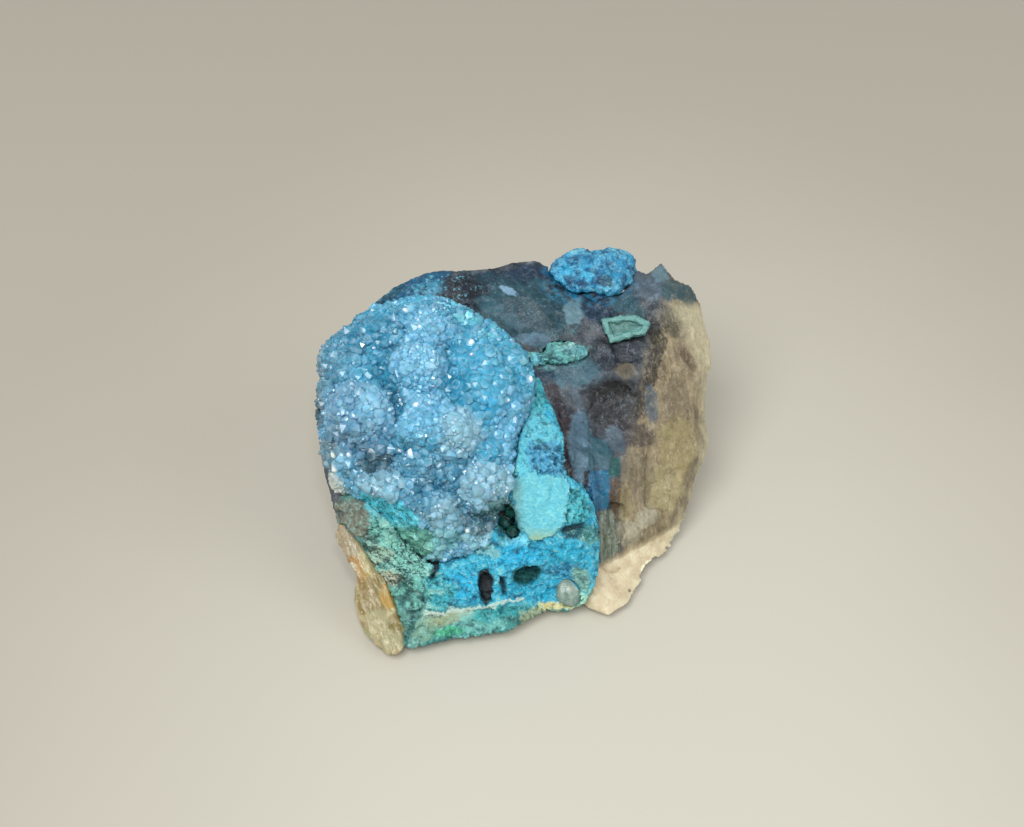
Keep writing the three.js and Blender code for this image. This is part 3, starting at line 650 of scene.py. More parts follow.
druse = {
    "voxel": 0.26,
    "smoothing": 24,
    "lumps": {"size": 2.0, "height": 0.18},
    "warts": {"size": 0.75, "height": 0.12},
    "shrunk": 0.06,
    # grape-like lumps: x, u, half width, half length, height
    "swells": [
        (-7.9, 21.4, 2.4, 1.9, 0.8), (-8.8, 17.3, 2.7, 2.5, 1.1), (-14.3, 12.9, 3.8, 3.4, 0.9),
        (-7.5, 12.1, 3.3, 2.7, 1.1), (-4.8, 11.3, 2.3, 2.5, 1.0), (-16.7, 18.4, 2.8, 2.4, 0.7),
        (-13.0, 21.4, 3.0, 2.0, 0.5), (-2.7, 17.2, 3.4, 4.0, 0.5), (-2.1, 10.3, 2.2, 2.2, 0.4),
        (-2.5, 6.1, 2.4, 2.1, 1.0), (-5.3, 7.1, 1.9, 1.7, 0.7), (-12.0, 6.1, 2.3, 1.3, 0.7),
        (-7.0, 4.4, 2.1, 1.4, 0.7), (-6.2, 2.9, 1.8, 1.4, 0.6), (-2.9, 1.1, 1.5, 1.2, 0.5),
        (-17.0, 5.6, 1.4, 1.7, 0.6), (-9.2, 8.2, 1.7, 1.0, 0.5),
    ],
    # ways of deep creases, with their width and depth
    "creases": [
        ([(-11.3, 18.8), (-12.3, 17.3), (-11.0, 14.3), (-10.4, 12.9)], 1.1, 0.7),
        ([(-6.0, 19.2), (-5.6, 16.6), (-5.7, 14.6), (-2.6, 13.4)], 0.8, 0.4),
        ([(-15.0, 9.6), (-12.6, 8.4), (-9.0, 9.9)], 1.0, 0.5),
        ([(-4.8, 4.0), (-3.2, 2.9), (-1.6, 3.6)], 0.9, 0.5),
    ],
    "grain": {"spacing": 0.32, "size": (0.16, 0.34), "tilt": 0.7, "low": 1.0, "front": -0.5,
              "seed": 9},
    "points": {"spacing": 0.62, "size": (0.34, 0.6), "tilt": 0.6, "low": 0.9, "front": 0.25,
               "seed": 4},
    "glassy": {"spacing": 0.8, "size": (0.5, 0.85), "tilt": 0.25, "low": 0.45, "front": -0.2,
               "seed": 6},
    "clear": {"spacing": 0.85, "size": (0.5, 0.72), "tilt": 0.5, "low": 1.2, "front": 0.1,
              "seed": 12},
    "clearAt": [
        (-2.1, 7.4), (-2.9, 5.5), (-6.2, 9.6), (-7.6, 9.3), (-15.0, 11.6), (-16.5, 8.0), (-1.0, 6.6),
        (-4.0, 6.7), (-13.6, 7.2), (-11.2, 5.7), (-17.2, 10.4), (-6.6, 3.2), (-5.2, 8.3),
    ],
    # where the points are low and broad: an ellipse on the face, and how far that goes
    "smoothSides": [((-2.0, 14.6, 4.4, 6.6, 12), 1.0), ((-13.2, 17.8, 2.4, 3.2, 20), 0.8)],
    "bareHollow": (-12.4, 17.6, 1.8, 2.6, 20),
    "clearBand": (-9.5, 8.2, 9.0, 2.6, -4),
    "seeThrough": 0.12,
    "soft": {"weight": 0.5, "depth": 0.5 * mm},
    "patches": {
        "left top": ((-13.4, 21.4, 4.6, 2.4, 30), 0.8, "lake"),
        "right blue": ((-2.7, 17.0, 4.2, 4.8), 0.8, "turquoise"),
        "right low blue": ((-2.1, 10.5, 2.4, 2.6), 0.8, "turquoise"),
        "right mottled": ((-0.2, 12.2, 1.2, 3.8), 0.7, "sky"),
        "upper left": ((-16.7, 18.4, 2.8, 2.2), 0.8, "steel"),
        "lavender lump": ((-14.3, 12.9, 3.5, 3.3), 0.85, "lavender"),
        "lavender pale": ((-12.6, 13.6, 1.6, 1.4), 0.6, "pale sky"),
        "lavender blue": ((-15.8, 11.8, 1.3, 1.0), 0.6, "dull blue"),
        "teal wedge": ((-13.4, 17.2, 1.6, 2.0), 0.8, "turquoise"),
        "teal facets": ((-5.4, 15.4, 2.0, 1.6), 0.8, "lake"),
        "top lump": ((-7.9, 21.4, 2.2, 1.8), 0.85, "sky"),
        "top lump pale": ((-8.4, 21.2, 1.3, 0.9), 0.5, "pale sky"),
        "second lump": ((-8.8, 17.3, 2.6, 2.3), 0.85, "sky"),
        "second lump pale": ((-8.7, 17.8, 1.4, 1.1), 0.6, "pale sky"),
        "big lump": ((-7.5, 12.1, 3.2, 2.6), 0.85, "sky"),
        "grey right": ((-4.8, 11.3, 2.0, 2.2), 0.85, "milk"),
        "teal crevice": (
            ([(-12.0, 18.6), (-12.3, 17.3), (-11.0, 14.3), (-10.4, 12.9)], 1.2), 0.9, "lake",
        ),
        # painted shade in the valley below the lavender lump
        "valley shade": ((-14.7, 9.8, 3.6, 1.0, -8), 0.8, "dull blue"),
        "blue dark": ((-9.1, 10.2, 2.5, 0.9), 0.8, "lake"),
        "lower band": ((-8.9, 7.8, 3.6, 1.1), 0.8, "steel"),
        "dark spot": ((-12.8, 8.4, 1.8, 1.1), 0.85, "slate"),
        "grey lumps": ((-5.3, 7.1, 2.4, 2.0), 0.8, "steel"),
        "pale lumps": ((-2.4, 6.2, 2.6, 2.1), 0.85, "milk"),
        "low lavender": ((-12.0, 6.2, 2.4, 1.1), 0.8, "milk"),
        "dark teal low": ((-7.6, 6.1, 1.6, 1.3), 0.8, "deep blue"),
        "low blue": ((-7.0, 4.5, 2.3, 1.2), 0.8, "steel"),
        "left rim pale": ((-18.6, 16.5, 1.0, 2.4), 0.7, "pale mist"),
        "left rim dark": ((-18.9, 13.4, 1.0, 1.8), 0.8, "slate"),
        "left low": ((-17.5, 9.0, 1.3, 1.8), 0.8, "grey stone"),
        "left knobs": ((-17.1, 5.4, 1.4, 1.8), 0.85, "ivory"),
        "edge strip": (
            [(3.2, 14.0), (3.0, 16.1), (1.5, 18.7), (0.2, 20.2), (0.9, 16.0), (2.0, 14.4)],
            0.85, "turquoise",
        ),
        "deep hollow": ((-1.9, 13.6, 1.0, 0.6), 0.9, "vivid blue"),
        "low crystals": ((-6.2, 3.4, 1.7, 1.4), 0.8, "milk"),
        "low pale": ((-2.9, 1.0, 1.5, 1.2), 0.8, "frost"),
        "bottom teal": ((-6.1, 1.1, 1.8, 1.2), 0.8, "seafoam"),
        "smoky shade": ((-3.3, 2.8, 1.8, 1.2), 0.85, "petrol"),
        "smoky top": ((-1.2, 3.9, 1.7, 1.1), 0.85, "pool"),
        "tip": ((-7.6, 0.1, 1.2, 1.5), 0.8, "seafoam"),
        "top rim": ((-10.7, 23.8, 4.2, 1.1, 14), 0.8, "turquoise"),
        "edge flecks": ((-5.2, 22.6, 2.4, 1.4, -32), 0.8, "lake"),
    },
    "skinHeight": 0.42,
    "foldHeight": 0.3,
    # straight up, as seen from the face, and the heights between which the large points stop
    "upward": (0.0, 0.766, 0.643),
    "topOfPoints": (24.4, 23.8),
    "wrinkled": [(-15.6, 3.7), (-10.4, -1.7), (-7.4, -0.5), (-7.3, 1.2), (-8.6, 3.4), (-10.4, 4.9),
                 (-14.2, 5.4)],
    "flecks": ([(-6.6, 23.8), (-4.9, 22.6), (-3.2, 21.4), (-1.2, 20.4)], 1.3),
    "greenEdge": ([(0.4, 19.6), (2.4, 16.9), (2.9, 14.2)], 0.8),
}


# wrinkles that run down to the right: rounded folds with thin creases between them, above 0 on
# the folds and about -1 in the creases
def skirtFolds(graph, place):
    bent = graph.wobbled(place, 2.2, 2.8).turned("Z_AXIS", radians(28))
    return 0.0 - graph.ridges(bent, (2.6, 1.15, 1.3), 3.0, 6.0)


# the low left side of the dome, where the wrinkled crust climbs over it and no points grow
def wrinkledSide(graph, place):
    return graph.region(graph.wobbled(place, 1.2, 1.6), druse["wrinkled"], 0.2)


def domeHue(graph, place):
    cloud = graph.noise(place, 1.3, 4.0)
    patchy = graph.noise(place, 0.6, 3.0, 3.0)
    colour = graph.blend(cloud.rise(-0.9, 0.9), tone(80, 146, 178), tone(112, 182, 212))
    drawn = graph.wobbled(place, 1.3, 1.5)
    colour = graph.painted(drawn, colour, druse["patches"], patchy * 0.2)
    # turquoise flecks and black pits along the upper edge, green and yellow on the right edge
    flecks = graph.path(place, *druse["flecks"])
    green = graph.path(place, *druse["greenEdge"])
    frost = graph.noise(place, 1.3, 5.0, 9.0)
    colour = graph.coated(
        colour,
        (flecks * patchy.rise(0.0, 0.35) * 0.85, (128, 218, 232)),
        (flecks * patchy.rise(-0.45, -0.75) * 0.9, (22, 38, 52)),
        (green * patchy.rise(0.1, 0.5) * 0.5, (176, 200, 160)),
        (frost.rise(0.1, 1.0) * 0.45, (182, 216, 232)),
        (frost.rise(-0.3, -1.0) * 0.45, (36, 96, 128)),
    )
    return shaded(colour, patchy * 0.1 + cloud * 0.06)


def domeRelief(graph, place, outward):
    lumps = graph.noise(place, druse["lumps"]["size"], 2.0) * druse["lumps"]["height"]
    warts = graph.noise(place, druse["warts"]["size"], 2.0) * druse["warts"]["height"]
    uneven = graph.wobbled(place, 1.2, 1.2)
    swell = lumps * 0.0  # flat to begin with
    for x, u, halfX, halfU, height in druse["swells"]:
        away = graph.flatReach(uneven, x, u, halfX, halfU)
        swell = swell.atLeast((1.0 - away * away) * height)
    for way, width, depth in druse["creases"]:
        swell = swell - graph.path(uneven, way, width) * depth
    wrinkled = wrinkledSide(graph, place)
    folds = skirtFolds(graph, place).atMost(1.0) * wrinkled
    height = lumps + warts + swell - druse["shrunk"]
    height = height + wrinkled * druse["skinHeight"] + folds * druse["foldHeight"]
    return height, {"hue": domeHue(graph, place)}


def domeFinish(graph, place):
    grain = graph.noise(place, 0.35, 3.0)
    facets = graph.cells(graph.wobbled(place, 0.6, 0.5), 0.7)
    # painted shade: the body darker towards the edges of the cells, between the rounded facets
    colour = shaded(graph.stored("hue", "Color"), grain * 0.1 - facets * 0.25 + 0.1)
    wrinkled = wrinkledSide(graph, place)
    folds = skirtFolds(graph, place) + grain * 0.3
    skin = graph.blend(place.part("Y").rise(1.4, 3.0), tone(104, 164, 150), tone(84, 194, 216))
    # painted highlight on the fold crests and painted shade in the creases
    skin = graph.coated(
        skin,
        (folds.rise(-0.2, 0.6) * 0.6, (164, 230, 228)),
        (folds.rise(-0.65, -0.95) * 0.65, (22, 74, 82)),
    )
    colour = graph.blend(wrinkled, colour, skin)
    surface(graph, **{
        "Base Color": colour,
        "Roughness": 0.22,
        "Normal": graph.bump(grain * 0.03 - facets * 0.16),
        "Subsurface Weight": druse["soft"]["weight"],
        "Subsurface Scale": druse["soft"]["depth"],
    })


# milky clear and tinted by the blue below, with painted light on the shoulders where one point meets
# the next
def pointFinish(graph, place):
    each = graph.stored("each")
    rise = graph.stored("rise")
    grain = graph.noise(place, 0.3, 3.0)
    cloud = graph.noise(place, 1.1, 3.0, 5.0)
    calm = 1.0 - 0.7 * smoothSide(graph, place)
    colour = shaded(graph.stored("hue", "Color"), (each - 0.5) * 0.3 * calm + cloud * 0.16)
    # painted light on each point's shoulders, where it meets the next
    litRim = rise.rise(0.9, 0.74)
    deep = rise.rise(0.8, 0.95) * each.math("FRACT", each * 7.0).rise(0.5, 0.9)
    glint = each.rise(0.972, 0.98) * rise.rise(0.75, 0.9)
    colour = graph.coated(
        colour,
        (litRim * (0.06 + 0.22 * each), (196, 226, 240)),
        (deep * calm * 0.4, (62, 116, 150)),
        (glint * 0.9, (250, 253, 255, 0.0)),
    )
    surface(graph, **{
        "Base Color": shaded(colour, grain * 0.14),
        "Roughness": 0.08 + 0.14 * each,
        "IOR": quartzIor,
        "Transmission Weight": druse["seeThrough"],
        "Subsurface Weight": druse["soft"]["weight"],
        "Subsurface Scale": druse["soft"]["depth"],
    })


# one six-sided point, its foot sunk under the origin; height and the tip's shift make variants
def quartzPoint(name, height, tipShift):
    bpy.ops.object.select_all(action="DESELECT")
    bpy.ops.mesh.primitive_cylinder_add(vertices=6, radius=1.0, depth=1.4, location=(0, 0, -0.72))
    point = bpy.context.object
    point.name = name
    bpy.ops.object.mode_set(mode="EDIT")
    bpy.ops.mesh.select_mode(type="FACE")
    bpy.ops.mesh.select_all(action="DESELECT")
    bpy.ops.object.mode_set(mode="OBJECT")
    top = max(point.data.polygons, key=lambda side: side.center.z)
    top.select = True
    bpy.ops.object.mode_set(mode="EDIT")
    bpy.ops.mesh.extrude_region_move(TRANSFORM_OT_translate={"value": (*tipShift, height)})
    bpy.ops.transform.resize(value=(0.2, 0.14, 1.0))
    bpy.ops.object.mode_set(mode="OBJECT")
    heights = [vertex.co.z for vertex in point.data.vertices]
    rise = point.data.attributes.new("rise", "FLOAT", "POINT")
    for vertex, z in zip(rise.data, heights):
        vertex.value = (z - min(heights)) / (max(heights) - min(heights))
    for holder in list(point.users_collection):
        holder.objects.unlink(point)
    return point


# height over the shoulder, and the tip's shift sideways, as shares of the radius
pointShapes = {
    "even": (0.75, (0.0, 0.0)),
    "tall": (0.95, (0.22, 0.1)),
    "blunt": (0.5, (-0.2, 0.15)),
    "leaning": (0.85, (0.1, -0.35)),
    "chisel": (0.65, (0.35, 0.3)),
}
pointKinds = bpy.data.collections.new("quartz_points")
for kind, (height, shift) in pointShapes.items():
    pointKinds.objects.link(quartzPoint(kind + "_quartz_point", height, shift))


# 1 in the glassy parts of the dome
def smoothSide(graph, place):
    right, left = [graph.spot(place, *at, 0.35) * share for at, share in druse["smoothSides"]]
    return right.atLeast(left)


# small crystals standing on a piece, as one mesh of their own; share says where they grow
def scattered(name, ground, kinds, plan, share):
    graph, mesh, place, _, outward = newTree(name)

    def chance(low, high, salt):
        isVector = isinstance(low, tuple)
        at = 0 if isVector else 2
        kind = {"data_type": "FLOAT_VECTOR" if isVector else "FLOAT"}
        sockets = {at: low, at + 1: high, "Seed": salt}
        return graph.add("FunctionNodeRandomValue", kind, sockets, 0 if isVector else 1)

    spread = graph.add("GeometryNodeDistributePointsOnFaces", {"distribute_method": "POISSON"}, {
        "Mesh": mesh,
        "Distance Min": plan["spacing"] * mm,
        "Density Max": 3.0 / (plan["spacing"] * mm) ** 2,
        "Density Factor": share(graph, place) * outward.rise(plan["front"], plan["front"] + 0.3)
        * (1.0 - wrinkledSide(graph, place)).rise(0.3, 0.8),
        "Seed": plan["seed"],
    })
    upward = Wire(graph, spread.socket.node.outputs["Normal"])
    tilt = plan["tilt"]
    lean = upward.vector("ADD", chance((-tilt,) * 3, (tilt,) * 3, 1))
    spin = graph.add("FunctionNodeAxisAngleToRotation", {}, {"Angle": chance(0.0, pi, 2)})
    upright = graph.add(
        "FunctionNodeAlignRotationToVector", {"axis": "Z"}, {"Rotation": spin, "Vector": lean}
    )
    kindsInfo = graph.add("GeometryNodeCollectionInfo", {}, {
        "Collection": kinds, "Separate Children": True, "Reset Children": True,
    })
    size = chance(*plan["size"], 3) * mm * (1.0 - 0.3 * smoothSide(graph, place))
    scale = graph.add("ShaderNodeCombineXYZ", {}, {"X": size, "Y": size, "Z": size * plan["low"]})
    placed = graph.add("GeometryNodeInstanceOnPoints", {}, {
        "Points": spread,
        "Instance": kindsInfo,
        "Pick Instance": True,
        "Rotation": upright,
        "Scale": scale,
    })
    placed = keep(graph, placed, "each", chance(0.0, 1.0, 5), domain="INSTANCE")
    real = graph.add("GeometryNodeRealizeInstances", {}, {"Geometry": placed})
    graph.add("NodeGroupOutput", {}, {"Geometry": real})
    piece = bpy.data.objects.new(name, ground.data.copy())
    bpy.context.scene.collection.objects.link(piece)
    applied(piece, "NODES", node_group=graph.tree)
    return piece


def everywhere(graph, place):
    patchy = graph.noise(place, 0.9, 2.0, 2.0)
    return patchy.rise(-1.4, -0.2) * (1.0 - smoothSide(graph, place) * patchy.rise(0.9, 0.3) * 0.9)


# the larger points leave out the smooth right side of the dome and grow in clusters
def whereLarge(graph, place):
    smooth = smoothSide(graph, place)
    hollow = graph.spot(place, *druse["bareHollow"])
    clusters = graph.noise(place, 1.8, 2.0, 7.0).rise(-1.0, 0.3)
    clusters = clusters * place.along(druse["upward"]).rise(*druse["topOfPoints"])
    return clusters * (1.0 - smooth * 0.85) * (1.0 - hollow * 0.7)


def whereClear(graph, place):
    share = graph.spot(place, *druse["clearBand"]) * graph.noise(place, 1.4).rise(0.0, 0.9)
    for x, u in druse["clearAt"]:
        share = share.atLeast(graph.spot(place, x, u, 0.6, 0.6))
    return share


domePiece = skinOf("drusy_quartz_dome", "druse_body", druse["voxel"], druse["smoothing"])
shapeSkin(domePiece, domeRelief)
pointMaterial = newMaterial("quartz points", pointFinish)
crystals = {
    "druse_sugar": (druse["grain"], everywhere),
    "druse_points": (druse["points"], whereLarge),
    "druse_glassy_points": (druse["glassy"], smoothSide),
    "druse_clear_points": (druse["clear"], whereClear),
}
crystalPieces = [scattered(name, domePiece, pointKinds, *how) for name, how in crystals.items()]
finished(domePiece, newMaterial("druse body", domeFinish))
for piece in crystalPieces:
    flatSided = "glassy" in piece.name  # the broad points keep every edge
    finished(piece, pointMaterial, angle=8 if flatSided else 35)


# Turquoise crust: the ledge, the smooth patch, the pitted lobe, the blue band with its holes, the
# wrinkled skirt and the lower lip. Heights and depths are in mm.

crust = {
    "voxel": 0.16,
    "grown": 0.1,
    "rough": 0.13,
    "grain": {"size": 0.35, "height": 0.09},
    "heights": {"folds": 0.34, "smooth": 0.35, "paleLine": 0.2},
    "depths": {"pits": 0.35, "cuts": 0.7, "holes": 0.8, "ring": 0.3},
    "smooth": [
        (1.8, 0.8), (2.7, 0.7), (3.7, 1.2), (4.9, 2.1), (5.3, 4.0), (5.7, 6.0), (5.2, 6.6), (2.2, 7.3),
        (0.7, 7.2), (0.2, 5.8), (0.4, 3.4), (1.1, 1.7),
    ],
    "rift": ([(4.9, 1.6), (6.0, 1.9), (7.1, 2.1)], 0.4),
    "brownHole": [(-2.9, -5.1), (-2.4, -5.7), (-1.9, -5.1), (-1.7, -3.2), (-2.2, -2.1), (-3.0, -2.3),
                  (-3.2, -3.6)],
    "greenHole": (1.6, -2.8, 1.4, 0.95, 15),
    "slit": ([(-0.9, -3.1), (-0.6, -4.5)], 0.4),
    "crevice": ([(-8.6, -0.5), (-7.2, -1.8), (-7.6, -2.7)], 0.4),
    "ring": (-9.5, -5.3, 1.15, 1.05),
    "paleLine": ([(-8.4, -6.5), (-5.1, -6.1), (-1.8, -5.7), (1.1, -5.1)], 0.28),
    "skirt": (-10.6, -0.6, 4.6, 3.8, -30),
    "lowFolds": (-8.0, -4.0, 3.0, 2.4, -20),
    "patches": {
        "upper ledge": ([(0.9, 9.9), (4.8, 9.8), (4.7, 11.3), (3.2, 13.2), (1.9, 14.2), (1.2, 12.6)],
                        0.85, "bright turquoise"),
        "ledge low": ([(0.2, 7.1), (2.0, 7.4), (1.6, 9.9), (0.2, 10.2)], 0.85, "bright turquoise"),
        "ledge green": ((2.2, 15.2, 1.3, 2.0, 25), 0.8, "green turquoise"),
        "ledge edge": (([(0.6, 13.6), (0.3, 10.4), (0.2, 7.6)], 0.6), 0.6, "mint"),
        "blue pits": ([(2.0, 7.4), (3.8, 6.9), (5.2, 6.7), (5.2, 8.7), (4.7, 10.1), (1.7, 10.1)],
                      0.9, "cornflower"),
        "lobe": ([(5.2, 2.3), (6.9, 2.3), (7.8, 3.0), (7.7, 4.1), (6.9, 5.4), (5.6, 5.7), (5.2, 4.0)],
                 0.85, "green turquoise"),
        # painted shade in the pocket round the dioptase
        "pocket shade": ((-0.2, 2.4, 1.3, 1.9), 0.85, "sea green"),
        "pale lobe": ((0.5, 0.7, 1.2, 0.9, -20), 0.85, "pale blue"),
        "left vivid": ((-5.3, -3.6, 2.2, 1.3, 15), 0.85, "vivid blue"),
        "band middle": ((-2.3, -1.3, 2.6, 0.9, 20), 0.8, "strong blue"),
        "band centre": ((1.1, -0.8, 2.4, 1.1), 0.8, "vivid blue"),
        "band right": ((5.4, -0.7, 2.4, 1.4), 0.8, "strong blue"),
        "right low": ((5.3, -2.4, 1.9, 0.8), 0.8, "blue shade"),
        "band bottom": ((0.8, -4.4, 2.4, 0.9), 0.8, "strong blue"),
        "lens": ((-2.2, -0.2, 1.2, 0.6, -12), 0.9, "seafoam"),
        "chip blue": ((3.5, -4.4, 1.2, 1.3), 0.95, "strong blue"),
        "wrinkled blue": ((-11.9, 3.8, 2.4, 1.7, -20), 0.85, "bright turquoise"),
        "wrinkle green a": ((-11.4, 1.3, 2.8, 1.5, -20), 0.85, "verdigris"),
        "wrinkle green b": ((-10.8, -1.6, 3.2, 1.8, -30), 0.85, "pale verdigris"),
        "round lobe": ((-12.7, -0.7, 1.1, 0.8), 0.8, "pale sage"),
        "teal folds": ((-7.1, -4.3, 1.6, 1.8, 40), 0.85, "green turquoise"),
        "below folds": ((-9.6, -4.6, 1.8, 1.4), 0.8, "verdigris"),
        "tan under": ((-12.0, -2.9, 1.4, 0.7), 0.8, "stone"),
        "grey grain": ([(-17.6, 4.4), (-16.9, 2.3), (-15.6, 1.0), (-13.8, 0.8), (-13.7, 2.6),
                        (-14.3, 4.6)], 0.9, "grey brown"),
        "dark green": ((-13.5, 0.3, 0.9, 0.8), 0.8, "dark green"),
        # painted shade in the gap beside the foot
        "gap shade": ((-10.3, -3.3, 0.8, 0.8), 0.8, "sea green"),
        "brown below": ((6.4, 1.3, 1.4, 0.5), 0.8, "dark green"),
        "right teal": ((7.8, 1.3, 1.0, 0.9), 0.8, "pool"),
        "right grey": ((6.9, -3.3, 0.9, 1.2), 0.8, "sage"),
        "right foot": ((6.8, -5.6, 1.0, 0.8), 0.8, "mint white"),
        "yellow strip": ([(2.7, -6.2), (6.0, -6.1), (6.1, -5.4), (2.8, -5.7)], 0.9, "straw"),
        "yellow green": (([(-8.0, -7.0), (-6.0, -6.7), (-4.4, -6.4)], 0.9), 0.85, "pale sage"),
        "lip left": ((-8.4, -7.8, 1.5, 1.0, 10), 0.8, "sage"),
        "lip olive": ((-6.4, -6.9, 1.6, 0.6, 15), 0.8, "moss"),
        "lip right": ((-3.0, -7.3, 2.4, 0.9, 8), 0.8, "verdigris"),
        "lip teal": ((-1.2, -6.4, 2.4, 0.6, 6), 0.85, "teal"),
        "lip tail": ((2.0, -6.8, 1.5, 0.6, 10), 0.85, "moss"),
        "lip green": ((-6.2, -8.1, 1.4, 0.4, 8), 0.8, "leaf"),
        # painted shade in the gap between the foot and the lip
        "foot gap shade": (([(-9.4, -7.0), (-10.1, -8.8)], 0.45), 0.85, "sea green"),
    },
}


def crustRelief(graph, place, outward):
    drawn = graph.wobbled(place, 1.2, 1.1)
    patch = graph.region(graph.wobbled(place, 1.8, 2.2), crust["smooth"], 0.08)
    pitted = graph.region(drawn, crust["patches"]["lobe"][0])
    pitted = pitted.atLeast(graph.region(drawn, crust["patches"]["blue pits"][0]))
    skirt = graph.spot(drawn, *crust["skirt"]).atLeast(graph.spot(drawn, *crust["lowFolds"]) * 0.8)
    folds = skirtFolds(graph, place).atMost(1.2) * skirt
    pits = graph.noise(place, 0.42, 2.0, 12.0).rise(0.05, -0.5) * pitted
    cuts = graph.path(drawn, *crust["rift"]) + graph.path(drawn, *crust["slit"])
    cuts = cuts + graph.path(drawn, *crust["crevice"])
    holes = graph.region(graph.wobbled(place, 0.8, 0.6), crust["brownHole"])
    holes = holes + graph.spot(drawn, *crust["greenHole"]) * 0.8
    ringReach = graph.flatReach(drawn, *crust["ring"])
    groove = abs(ringReach - 1.0).rise(0.25, 0.05)
    rough = graph.ridges(graph.wobbled(place, 1.0, 1.2), 0.8, 3.0, 2.0)
    grain = graph.noise(place, crust["grain"]["size"], 2.0) * crust["grain"]["height"]
    lumps = graph.noise(place, 1.6, 2.0) * 0.15
    height = (rough * crust["rough"] * (1.0 - skirt) + lumps) * (1.0 - patch * 0.9)
    height = height + grain * (1.0 - patch * 0.5) + folds * crust["heights"]["folds"]
    height = height + patch * crust["heights"]["smooth"]
    height = height + graph.path(drawn, *crust["paleLine"]) * crust["heights"]["paleLine"]
    deep = crust["depths"]
    low = pits * deep["pits"] + cuts * deep["cuts"] + holes * deep["holes"] + groove * deep["ring"]
    shade = (pits * 0.6).atLeast(groove * 0.55)
    kept = {"shade": shade, "patch": patch, "cuts": cuts.atMost(1.0), "skirt": skirt}
    return height - low + crust["grown"], kept


def crustFinish(graph, place):
    drawn = graph.wobbled(place, 1.2, 1.8)
    cloud = graph.noise(place, 0.9, 4.0)
    fine = graph.noise(place, 0.3, 3.0, 3.0)
    grain = graph.noise(place, 0.14, 2.0, 8.0)
    patch = graph.stored("patch")
    skirt = graph.stored("skirt")
    colour = graph.blend(cloud.rise(-0.8, 0.8), tone(34, 146, 184), tone(78, 190, 214))
    x = place.part("X")
    u = place.part("Y")
    cracks = graph.veins(graph.wobbled(place, 1.5, 1.6), 1.6, 0.22, 3.0, 11.0)
    colour = graph.coated(
        colour,
        (u.rise(-5.2, -6.2), (76, 140, 136)),
        (x.rise(-7.4, -9.4), (98, 146, 136)),
    )
    rough = graph.ridges(graph.wobbled(place, 1.0, 1.2), 0.8, 4.0, 2.0)
    frayed = fine * 0.3 + cloud * 0.3 + rough * 0.15
    colour = graph.painted(drawn, colour, crust["patches"], frayed, soft=0.5)
    plain = 1.0 - skirt.atLeast(patch)
    folds = skirtFolds(graph, place) + fine * 0.3
    dots = graph.specks(place, 0.4, 0.2) * graph.region(drawn, crust["patches"]["blue pits"][0])
    brown = graph.region(graph.wobbled(place, 0.8, 0.6), crust["brownHole"], 0.1)
    line = (graph.path(drawn, *crust["paleLine"]) + fine * 0.3).rise(0.3, 0.7)
    colour = graph.coated(
        colour,
        # painted shade, dark blue, between the grains, and painted highlight on their crests
        ((rough + fine * 0.5).rise(-0.1, -1.3) * plain * 0.6, (8, 70, 104)),
        ((rough + fine * 0.4).rise(0.5, 1.2) * plain * 0.45, (160, 222, 226)),
        # cracks, the skirt's folds with painted highlight on the crests and painted shade in the
        # creases, and pale dots among the blue pits
        (cracks * cloud.rise(0.2, -0.4) * (1.0 - patch) * 0.7, (18, 62, 72)),
        (folds.rise(-0.2, 0.6) * skirt * 0.65, (176, 222, 206)),
        (folds.rise(-0.62, -0.95) * skirt * 0.9, (20, 58, 58)),
        (dots * 0.8, (140, 205, 228)),
        # the smooth patch, mottled, grey on its left and green at its foot
        (patch, (102, 188, 204)),
        (patch * (cloud + fine * 0.6).rise(0.1, 0.9) * 0.7, (74, 160, 190)),
        (patch * (rough + fine * 0.6).rise(0.4, 1.2) * 0.5, (150, 222, 222)),
        (patch * (x + cloud * 0.3).rise(1.7, 0.3) * 0.6, (116, 154, 154)),
        (patch * (u + cloud * 0.4).rise(2.2, 0.6) * 0.8, (160, 184, 138)),
        # painted shade in the pits, the ring's groove and the cuts, and the brown hole
        (graph.stored("shade"), (20, 66, 76)),
        (graph.stored("cuts") * 0.85, (40, 38, 36)),
        (brown * 0.95, (72, 66, 66)),
    )
    green = (graph.spot(drawn, *crust["greenHole"]) + fine * 0.4).rise(0.3, 0.7)
    moss = graph.blend(fine.rise(-0.5, 0.6), tone(18, 58, 58), tone(52, 118, 104))
    colour = graph.blend(green * 0.9, colour, moss)
    colour = graph.coated(colour, (line * 0.8, (190, 212, 200)))
    change = (cloud * 0.14 + fine * 0.12 + grain * 0.14) * (1.0 - patch * 0.4)
    surface(graph, **{
        "Base Color": shaded(colour, change),
        "Roughness": 0.62,
        "Normal": graph.bump(fine * 0.05 + grain * 0.03 + rough * 0.03),
    })


dress("turquoise_crust", "turquoise_crust_skin", "turquoise_crust", crust, crustRelief, crustFinish)


# Chalcedony foot: waxy, translucent, with soft folds along it.

